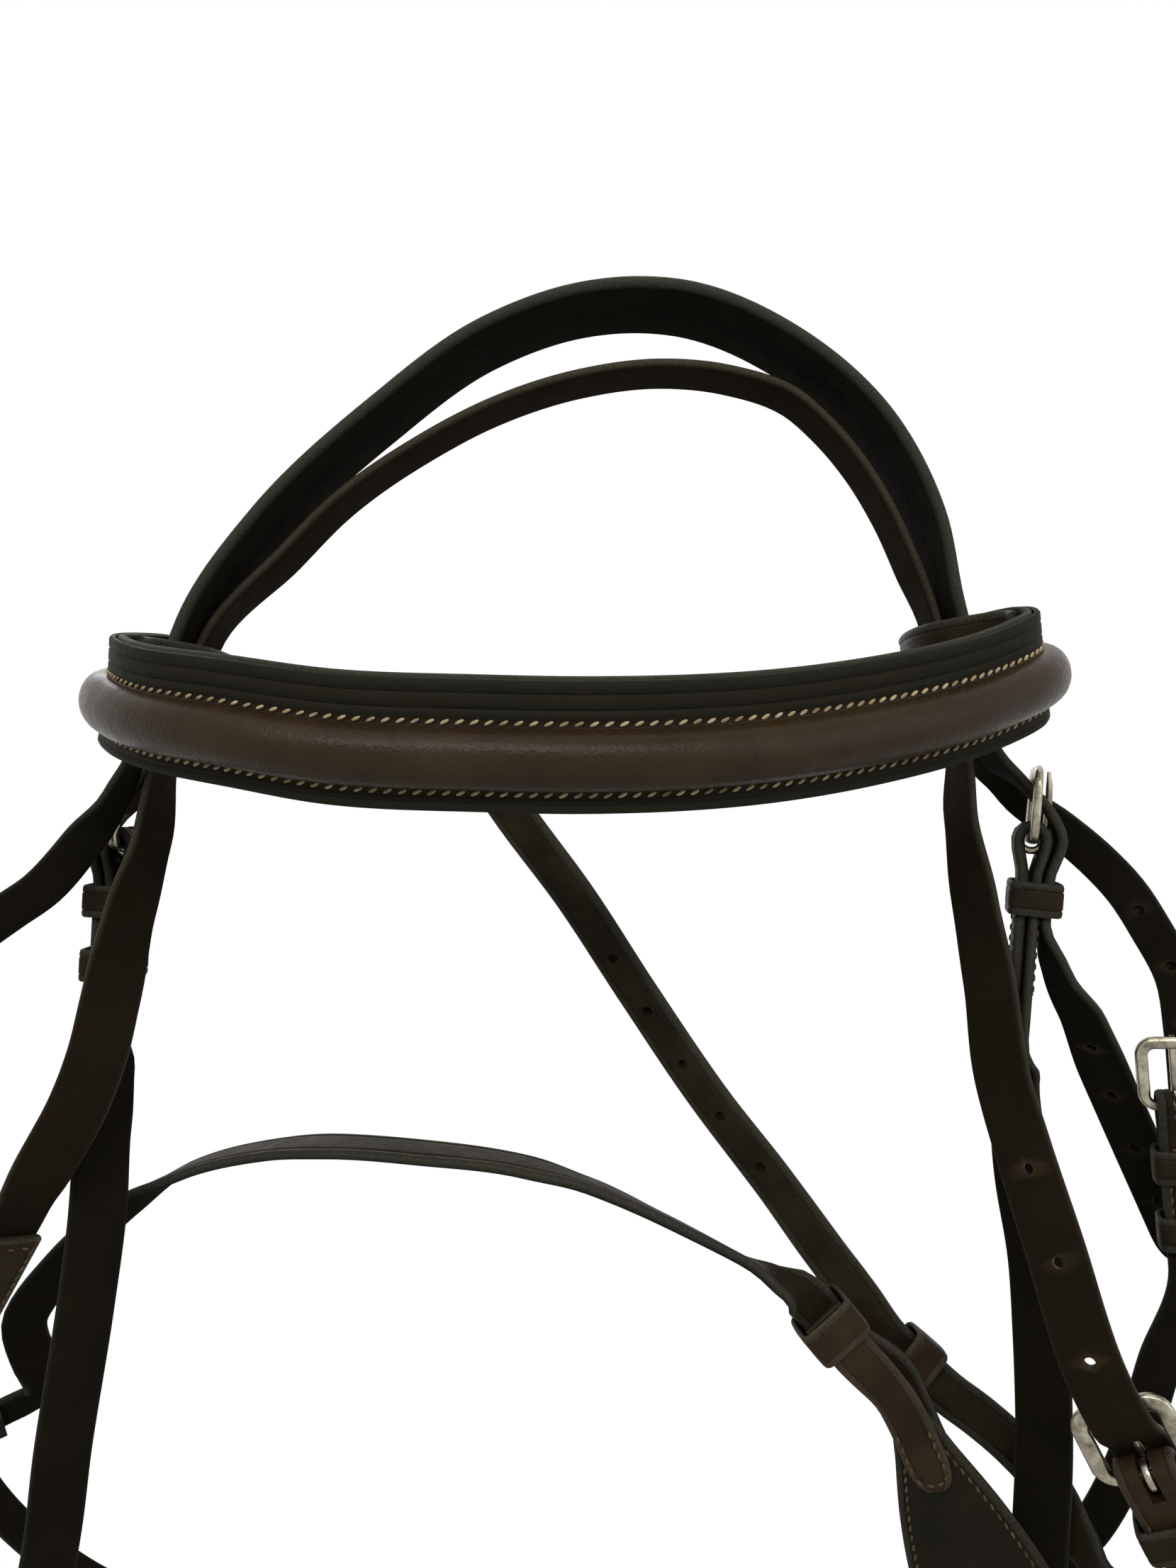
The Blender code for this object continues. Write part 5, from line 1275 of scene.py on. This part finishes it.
def flange_section(side, foot, creases):
    """One sewn flange, from its cut edge to the sunk seam beside the roll."""
    half = BROWBAND_HEIGHT / 2 - GAP
    base = BACKING_LEATHER / 2 + GAP
    face = base + FLANGE_LEATHER
    rows = [(half - 0.25 * MM, base, 1), (half, base + 0.5 * MM, 1),
            (half - 0.12 * MM, face - 0.3 * MM, 1), (half - 0.6 * MM, face, 0.9)]
    for crease in creases:
        rows += [(half - crease + 0.45 * MM, face, 0.5), (half - crease, face - 0.34 * MM, 0.5),
                 (half - crease - 0.45 * MM, face, 0.5)]
    foot = abs(foot)
    rows += [(foot + 2.0 * MM, face, 0.5), (foot + 1.4 * MM, face - 0.28 * MM, 0.4),
             (foot + 0.5 * MM, face - 0.28 * MM, 0.3)]
    return [(a * side, o, e) for a, o, e in rows]


def cover_section(rise):
    """The padded cover's section: creased flanges, sunk seams, and the roll between them."""
    face = BACKING_LEATHER / 2 + GAP + FLANGE_LEATHER
    middle, wide = (ROLL_TOP + ROLL_FOOT) / 2, (ROLL_TOP - ROLL_FOOT) / 2
    roll = []
    for step in range(19):
        angle = math.pi * step / 18
        high = face - 0.15 * MM + (ROLL_RISE * rise + 0.15 * MM) * math.sin(angle) ** 0.85
        roll.append((middle + wide * math.cos(angle), high, 0))
    lower = flange_section(-1, ROLL_FOOT, (2.1 * MM,))
    return flange_section(1, ROLL_TOP, (3.0 * MM, 6.4 * MM)) + roll + lower[::-1]


def padded_cover(route, first, last):
    """The browband's cover, laid along the backing's own route, with its two sewn rows."""
    rows = []
    for run in route.runs:
        if first <= run <= last:
            here = route.smooth_place(run)
            reach = min(1, min(run - first, last - run) / (9 * MM))
            rise = 0.35 + 0.65 * reach * reach * (3 - 2 * reach)
            ring = [(here.at(a, 0, -o), a, e, min(1, 2 * e))
                    for a, o, e in cover_section(rise)]
            rows.append((run, ring))
    rows.insert(0, end_row(rows[0]))
    rows.append(end_row(rows[-1]))
    cover = skin("browband_roll_cover", rows)
    finish_with(cover, "browband_padded_cover", "padded_leather")
    pitch = look().stitch_pitch
    level = BACKING_LEATHER / 2 + GAP + FLANGE_LEATHER
    count = int((last - first - 8 * MM) / pitch)
    for row in (ROLL_TOP + 1.0 * MM, ROLL_FOOT - 1.0 * MM):
        made = []
        for n in range(count):
            here = route.smooth_place(first + 4 * MM + n * pitch)
            point = here.at(row, 0, -level)
            made.append(thread_stitch(point, here.up, -here.out, -0.5))
        sew("browband_padded_cover", made)


def ring_stitches(node, at_ring, leather, width, length):
    """The stitching of a strap's turn round a ring, beyond its drawn-in neck."""
    fold_stitches(node, at_ring, leather, width, length, close=min(FOLD_CLOSE, length * 0.62))


def sew_everything():
    """Every stitched row that the folds and the tab carry."""
    fold_stitches("near_cheekpiece", NEAR_CHEEK, CHEEK_LEATHER, CHEEK_WIDTH, CHEEK_FOLD)
    fold_stitches("off_cheekpiece", OFF_CHEEK, CHEEK_LEATHER, CHEEK_WIDTH, CHEEK_FOLD)
    fold_stitches("headpiece", THROAT, THROAT_LEATHER, THROAT_WIDTH, FREE_FOLD)
    fold_stitches("off_nose_strap", CHIN, NOSE_LEATHER, NOSE_WIDTH, FREE_FOLD)
    fold_stitches("jaw_strap", JAW, NOSE_LEATHER, NOSE_WIDTH, FREE_FOLD)
    ring_stitches("noseband_headstall", ring_spot(OFF_RING, 0), HEADSTALL_LEATHER,
                  HEADSTALL_WIDTH, RING_FOLD)
    fold_stitches("near_noseband_chape", HEADSTALL_BUCKLE, HEADSTALL_LEATHER, HEADSTALL_WIDTH,
                  SHORT_FOLD, close=FOLD_CLOSE * 0.8, ends=False)


def leather(name, dark, light, rim, inside, gloss, shine=0.10):
    """Vegetable-tanned bridle leather: dyed and waxed, so it keeps pores, soft blotches of
    colour, burnished edges and a rougher, matt flesh side."""
    material = bpy.data.materials.new(name)
    material.use_nodes = True
    tree = material.node_tree
    shader = tree.nodes["Principled BSDF"]
    place = node(tree, "ShaderNodeTexCoord").outputs["Object"]
    # Blotches of dye about 20 mm across, and the fine unevenness of the wax about 1 mm across
    blotch = node(tree, "ShaderNodeTexNoise", (("Vector", place), ("Scale", 50.0),
                                               ("Detail", 4.0), ("Roughness", 0.6)))
    wax = node(tree, "ShaderNodeTexNoise", (("Vector", place), ("Scale", 1300.0),
                                            ("Detail", 3.0), ("Roughness", 0.65)))
    # Pores are 0.2 mm on the real leather, drawn 0.8 mm apart so that they show
    pores = node(tree, "ShaderNodeTexVoronoi", (("Vector", place), ("Scale", 1250.0)))
    folds = node(tree, "ShaderNodeTexNoise", (("Vector", place), ("Scale", 190.0),
                                              ("Detail", 6.0), ("Roughness", 0.7)))
    edge = node(tree, "ShaderNodeAttribute", attribute_name="edge").outputs["Fac"]
    flesh = node(tree, "ShaderNodeAttribute", attribute_name="flesh").outputs["Fac"]
    tone = node(tree, "ShaderNodeMapRange", (("Value", blotch.outputs["Fac"]),
                                             ("From Min", 0.36), ("From Max", 0.66)))
    speckle = node(tree, "ShaderNodeMapRange", (("Value", wax.outputs["Fac"]),
                                                ("From Min", 0.3), ("From Max", 0.75),
                                                ("To Min", 0.0), ("To Max", 0.6)))
    face = blend_colours(tree, tone.outputs["Result"], srgb(dark), srgb(light))
    face = blend_colours(tree, speckle.outputs["Result"], face, srgb(light))
    # Worn edges take the lighter colour only in patches
    patches = node(tree, "ShaderNodeMath", ((0, wax.outputs["Fac"]), (1, edge)),
                   operation="MULTIPLY")
    worn = node(tree, "ShaderNodeMapRange", (("Value", patches.outputs[0]),
                                             ("From Min", 0.12), ("From Max", 0.62)))
    rimmed = blend_colours(tree, worn.outputs["Result"], face, srgb(rim))
    matt = node(tree, "ShaderNodeMath", ((0, flesh), (1, 0.8)), operation="MULTIPLY")
    coloured = blend_colours(tree, matt.outputs[0], rimmed, srgb(inside))
    tree.links.new(coloured, shader.inputs["Base Color"])
    sheen = node(tree, "ShaderNodeMapRange", (("Value", folds.outputs["Fac"]),
                                              ("From Min", 0.3), ("From Max", 0.7),
                                              ("To Min", gloss - 0.07), ("To Max", gloss + 0.09)))
    rough = node(tree, "ShaderNodeMath", ((0, flesh), (1, 0.22), (2, sheen.outputs["Result"])),
                 operation="MULTIPLY_ADD")
    tree.links.new(rough.outputs[0], shader.inputs["Roughness"])
    relief = node(tree, "ShaderNodeMath", ((0, pores.outputs["Distance"]), (1, 0.35),
                                           (2, folds.outputs["Fac"])),
                  operation="MULTIPLY_ADD")
    bump = node(tree, "ShaderNodeBump", (("Strength", 0.38), ("Distance", 0.0005),
                                         ("Height", relief.outputs[0])))
    tree.links.new(bump.outputs["Normal"], shader.inputs["Normal"])
    # The flesh side has no wax on it, so it hardly shines
    gleam = node(tree, "ShaderNodeMapRange", (("Value", flesh), ("To Min", shine),
                                              ("To Max", shine * 0.15)))
    tree.links.new(gleam.outputs["Result"], shader.inputs["Specular IOR Level"])
    shader.inputs["IOR"].default_value = 1.48
    return material


def node(tree, kind, inputs=(), **settings):
    """Add a node with its settings, and set or link its inputs."""
    made = tree.nodes.new(kind)
    for key, value in settings.items():
        setattr(made, key, value)
    for name, value in inputs:
        socket = made.inputs[name]
        if isinstance(value, bpy.types.NodeSocket):
            tree.links.new(value, socket)
        else:
            socket.default_value = value
    return made


def blend_colours(tree, share, first, second):
    """The colour between two, each a socket or a linear colour."""
    mix = node(tree, "ShaderNodeMix", ((0, share), (6, first), (7, second)), data_type="RGBA")
    return mix.outputs[2]


def cast_steel(name, pale, worn):
    """Stainless steel, cast and tumbled: a satin grey with a warm tone and fine handling marks."""
    material = bpy.data.materials.new(name)
    material.use_nodes = True
    tree = material.node_tree
    shader = tree.nodes["Principled BSDF"]
    place = node(tree, "ShaderNodeTexCoord").outputs["Object"]
    # Scuffs and painted dark reflections in patches about 5 mm across, and tumbling marks drawn 0.7
    # mm wide
    scuffs_and_painted_reflections = node(tree, "ShaderNodeTexNoise", (("Vector", place), ("Scale", 210.0),
                                               ("Detail", 5.0), ("Roughness", 0.7)))
    marks = node(tree, "ShaderNodeTexNoise", (("Vector", place), ("Scale", 1400.0),
                                              ("Detail", 2.0), ("Distortion", 0.6)))
    # The worn colour darkens these patches: painted dark reflections as well as scuffs
    tone = node(tree, "ShaderNodeMapRange", (("Value", scuffs_and_painted_reflections.outputs["Fac"]),
                                             ("From Min", 0.40), ("From Max", 0.68)))
    tree.links.new(blend_colours(tree, tone.outputs["Result"], srgb(pale), srgb(worn)),
                   shader.inputs["Base Color"])
    rough = node(tree, "ShaderNodeMapRange", (("Value", scuffs_and_painted_reflections.outputs["Fac"]),
                                              ("From Min", 0.3), ("From Max", 0.7),
                                              ("To Min", 0.20), ("To Max", 0.40)))
    tree.links.new(rough.outputs["Result"], shader.inputs["Roughness"])
    bump = node(tree, "ShaderNodeBump", (("Strength", 0.16), ("Distance", 0.0002),
                                         ("Height", marks.outputs["Fac"])))
    tree.links.new(bump.outputs["Normal"], shader.inputs["Normal"])
    shader.inputs["Metallic"].default_value = 1.0
    return material


def linen_thread(name, pale, soiled):
    """Waxed linen thread, tan when new and browned by handling, with no gloss."""
    material = bpy.data.materials.new(name)
    material.use_nodes = True
    tree = material.node_tree
    shader = tree.nodes["Principled BSDF"]
    place = node(tree, "ShaderNodeTexCoord").outputs["Object"]
    dirt = node(tree, "ShaderNodeTexNoise", (("Vector", place), ("Scale", 260.0),
                                             ("Detail", 4.0)))
    tone = node(tree, "ShaderNodeMapRange", (("Value", dirt.outputs["Fac"]),
                                             ("From Min", 0.35), ("From Max", 0.65)))
    tree.links.new(blend_colours(tree, tone.outputs["Result"], srgb(soiled), srgb(pale)),
                   shader.inputs["Base Color"])
    twist = node(tree, "ShaderNodeTexNoise", (("Vector", place), ("Scale", 3000.0),))
    bump = node(tree, "ShaderNodeBump", (("Strength", 0.4), ("Distance", 0.0002),
                                         ("Height", twist.outputs["Fac"])))
    tree.links.new(bump.outputs["Normal"], shader.inputs["Normal"])
    shader.inputs["Roughness"].default_value = 0.85
    shader.inputs["Specular IOR Level"].default_value = 0.2
    return material


MATERIAL_OF = {"dark_leather": "bridle_leather_dark", "brown_leather": "bridle_leather_brown",
               "padded_leather": "browband_leather", "steel": "stainless_casting",
               "thread": "darkened_linen_thread"}


def make_materials():
    leather("bridle_leather_dark", "#14110b", "#2b2419", "#3c3c34", "#171510", 0.50, 0.035)
    leather("bridle_leather_brown", "#1b140c", "#33271a", "#464236", "#191610", 0.46, 0.06)
    leather("browband_leather", "#241a0d", "#322615", "#37362d", "#1f1f19", 0.32, 0.13)
    leather("nose_pad_leather", "#131109", "#201c14", "#3a382f", "#171510", 0.50, 0.05)
    # Both steel colours are kept dark, the worn one darkest, as painted dark reflections of a room
    cast_steel("stainless_casting", "#aaa491", "#5f5a4c")
    linen_thread("waxed_linen_thread", "#bba985", "#836f50")
    linen_thread("darkened_linen_thread", "#5f5039", "#3d3424")


class BridleLook(PropertyGroup):
    """Sizes of the sewn detail that a user may change before building."""
    stitch_pitch: FloatProperty(name="Stitch pitch", description="Distance between stitches",
                                default=0.0031, unit="LENGTH")
    stitch_thread: FloatProperty(name="Thread", description="Thickness of the sewing thread",
                                 default=0.0009, unit="LENGTH")
    lamp_level: FloatProperty(name="Lamp level", description="Power of the studio lamps",
                              default=1.0, subtype="FACTOR")
    backdrop: FloatVectorProperty(name="Backdrop", description="Colour behind the bridle",
                                  default=(1.0, 1.0, 1.0), subtype="COLOR")


class BRIDLE_OT_headpiece(Operator):
    """Build the crown with its split cheek and throat straps"""
    bl_idname = "bridle.headpiece"
    bl_label = "Headpiece"

    def execute(self, context):
        headpiece()
        return {"FINISHED"}


class BRIDLE_OT_headstall(Operator):
    """Build the noseband's headstall and its near chape"""
    bl_idname = "bridle.headstall"
    bl_label = "Noseband headstall"

    def execute(self, context):
        headstall()
        near_chape()
        return {"FINISHED"}


class BRIDLE_OT_cheekpieces(Operator):
    """Build both cheekpieces with their bit loops and hook studs"""
    bl_idname = "bridle.cheekpieces"
    bl_label = "Cheekpieces"

    def execute(self, context):
        both_cheekpieces()
        return {"FINISHED"}


class BRIDLE_OT_nose_straps(Operator):
    """Build the crossing nose straps, the jaw strap, the nose pad and its sleeves"""
    bl_idname = "bridle.nose_straps"
    bl_label = "Nose straps and crossover"

    def execute(self, context):
        e_route, f_route = nose_straps()
        nose_pad()
        crossover(e_route, f_route)
        return {"FINISHED"}


class BRIDLE_OT_browband(Operator):
    """Build the browband's backing and its padded cover"""
    bl_idname = "bridle.browband"
    bl_label = "Browband"

    def execute(self, context):
        browband()
        return {"FINISHED"}


class BRIDLE_OT_hardware(Operator):
    """Build the buckles, rings and keepers"""
    bl_idname = "bridle.hardware"
    bl_label = "Buckles, rings and keepers"

    def execute(self, context):
        hardware()
        return {"FINISHED"}


class BRIDLE_OT_stitching(Operator):
    """Sew every stitched row as raised thread"""
    bl_idname = "bridle.stitching"
    bl_label = "Stitching"

    def execute(self, context):
        sew_everything()
        for name, stitches in STITCHES.items():
            stitch_mesh(name, stitches)
        return {"FINISHED"}


class BRIDLE_OT_stage(Operator):
    """Set the level camera, the pale floor and the soft studio lamps"""
    bl_idname = "bridle.stage"
    bl_label = "Stage"

    def execute(self, context):
        camera_and_lamps(context)
        return {"FINISHED"}


def camera_and_lamps(context):
    """The photograph's camera, a pale floor and four soft lamps."""
    view = bpy.data.cameras.new("photo_camera")
    view.lens = 27.05
    view.sensor_width = 36
    camera = bpy.data.objects.new("photo_camera", view)
    camera.location = (-0.011, -0.345, -0.138)
    camera.rotation_euler = (math.radians(90), 0, 0)
    context.scene.collection.objects.link(camera)
    context.scene.camera = camera

    level = look().lamp_level
    lamps = (("key", (-0.45, -1.00, 0.85), 0.9, 4.5), ("fill", (0.95, -0.80, 0.10), 0.9, 3.0),
             ("top", (0.05, 0.15, 1.10), 0.8, 3.0), ("back", (-0.3, 1.10, 0.35), 0.9, 4.0))
    lamps += (("strip", (-0.10, -1.10, 0.42), 1.3, 8.0),)
    target = Vector((0, 0, -0.2))
    for name, spot_at, size, power in lamps:
        lamp = bpy.data.lights.new(name, "AREA")
        lamp.size = size
        if name == "strip":
            lamp.shape = "RECTANGLE"
            lamp.size_y = 0.14
        lamp.energy = power * level
        thing = bpy.data.objects.new(name, lamp)
        thing.location = spot_at
        thing.rotation_euler = (target - Vector(spot_at)).to_track_quat("-Z", "Y").to_euler()
        context.scene.collection.objects.link(thing)

    world = bpy.data.worlds.new("studio")
    context.scene.world = world
    world.use_nodes = True
    tree = world.node_tree
    tree.nodes.clear()
    ray = node(tree, "ShaderNodeLightPath")
    seen = node(tree, "ShaderNodeMath", ((0, ray.outputs["Is Camera Ray"]),
                                         (1, ray.outputs["Is Glossy Ray"])), operation="MAXIMUM")
    seen = node(tree, "ShaderNodeMath", ((0, seen.outputs[0]),
                                         (1, ray.outputs["Is Transmission Ray"])),
                operation="MAXIMUM")
    air = node(tree, "ShaderNodeBackground", (("Color", (0.96, 0.97, 1.0, 1.0)),
                                              ("Strength", 0.32)))
    paper = node(tree, "ShaderNodeBackground", (("Color", (*look().backdrop, 1.0)),
                                                ("Strength", 1.0)))
    both = node(tree, "ShaderNodeMixShader", ((0, seen.outputs[0]), (1, air.outputs[0]),
                                              (2, paper.outputs[0])))
    node(tree, "ShaderNodeOutputWorld", (("Surface", both.outputs[0]),))

    bpy.ops.object.select_all(action="DESELECT")
    bpy.ops.mesh.primitive_circle_add(vertices=96, radius=0.37, fill_type="NGON",
                                      location=(0, 0, -0.62))
    floor = context.object
    floor.name = "floor"
    pale = bpy.data.materials.new("pale_floor")
    pale.use_nodes = True
    pale.node_tree.nodes["Principled BSDF"].inputs["Base Color"].default_value = srgb("#f2f1ee")
    pale.node_tree.nodes["Principled BSDF"].inputs["Roughness"].default_value = 0.9
    floor.data.materials.append(pale)
    context.scene.view_settings.view_transform = "Standard"


class BRIDLE_PT_panel(Panel):
    """Lists the steps that build the bridle"""
    bl_label = "Figure eight bridle"
    bl_idname = "BRIDLE_PT_panel"
    bl_space_type = "VIEW_3D"
    bl_region_type = "UI"
    bl_category = "Bridle"

    def draw(self, context):
        for name in BridleLook.__annotations__:
            self.layout.prop(context.scene.bridle_look, name)
        for step in STEPS:
            self.layout.operator(step.bl_idname)


STEPS = (BRIDLE_OT_headpiece, BRIDLE_OT_headstall, BRIDLE_OT_cheekpieces, BRIDLE_OT_nose_straps,
         BRIDLE_OT_browband, BRIDLE_OT_hardware, BRIDLE_OT_stitching, BRIDLE_OT_stage)


def register():
    for kind in (BridleLook, *STEPS, BRIDLE_PT_panel):
        bpy.utils.register_class(kind)
    bpy.types.Scene.bridle_look = PointerProperty(type=BridleLook)


def unregister():
    del bpy.types.Scene.bridle_look
    for kind in reversed((BridleLook, *STEPS, BRIDLE_PT_panel)):
        bpy.utils.unregister_class(kind)


def main():
    register()
    make_materials()
    for step in STEPS:
        area, name = step.bl_idname.split(".")
        getattr(getattr(bpy.ops, area), name)()


if __name__ == "__main__":
    main()
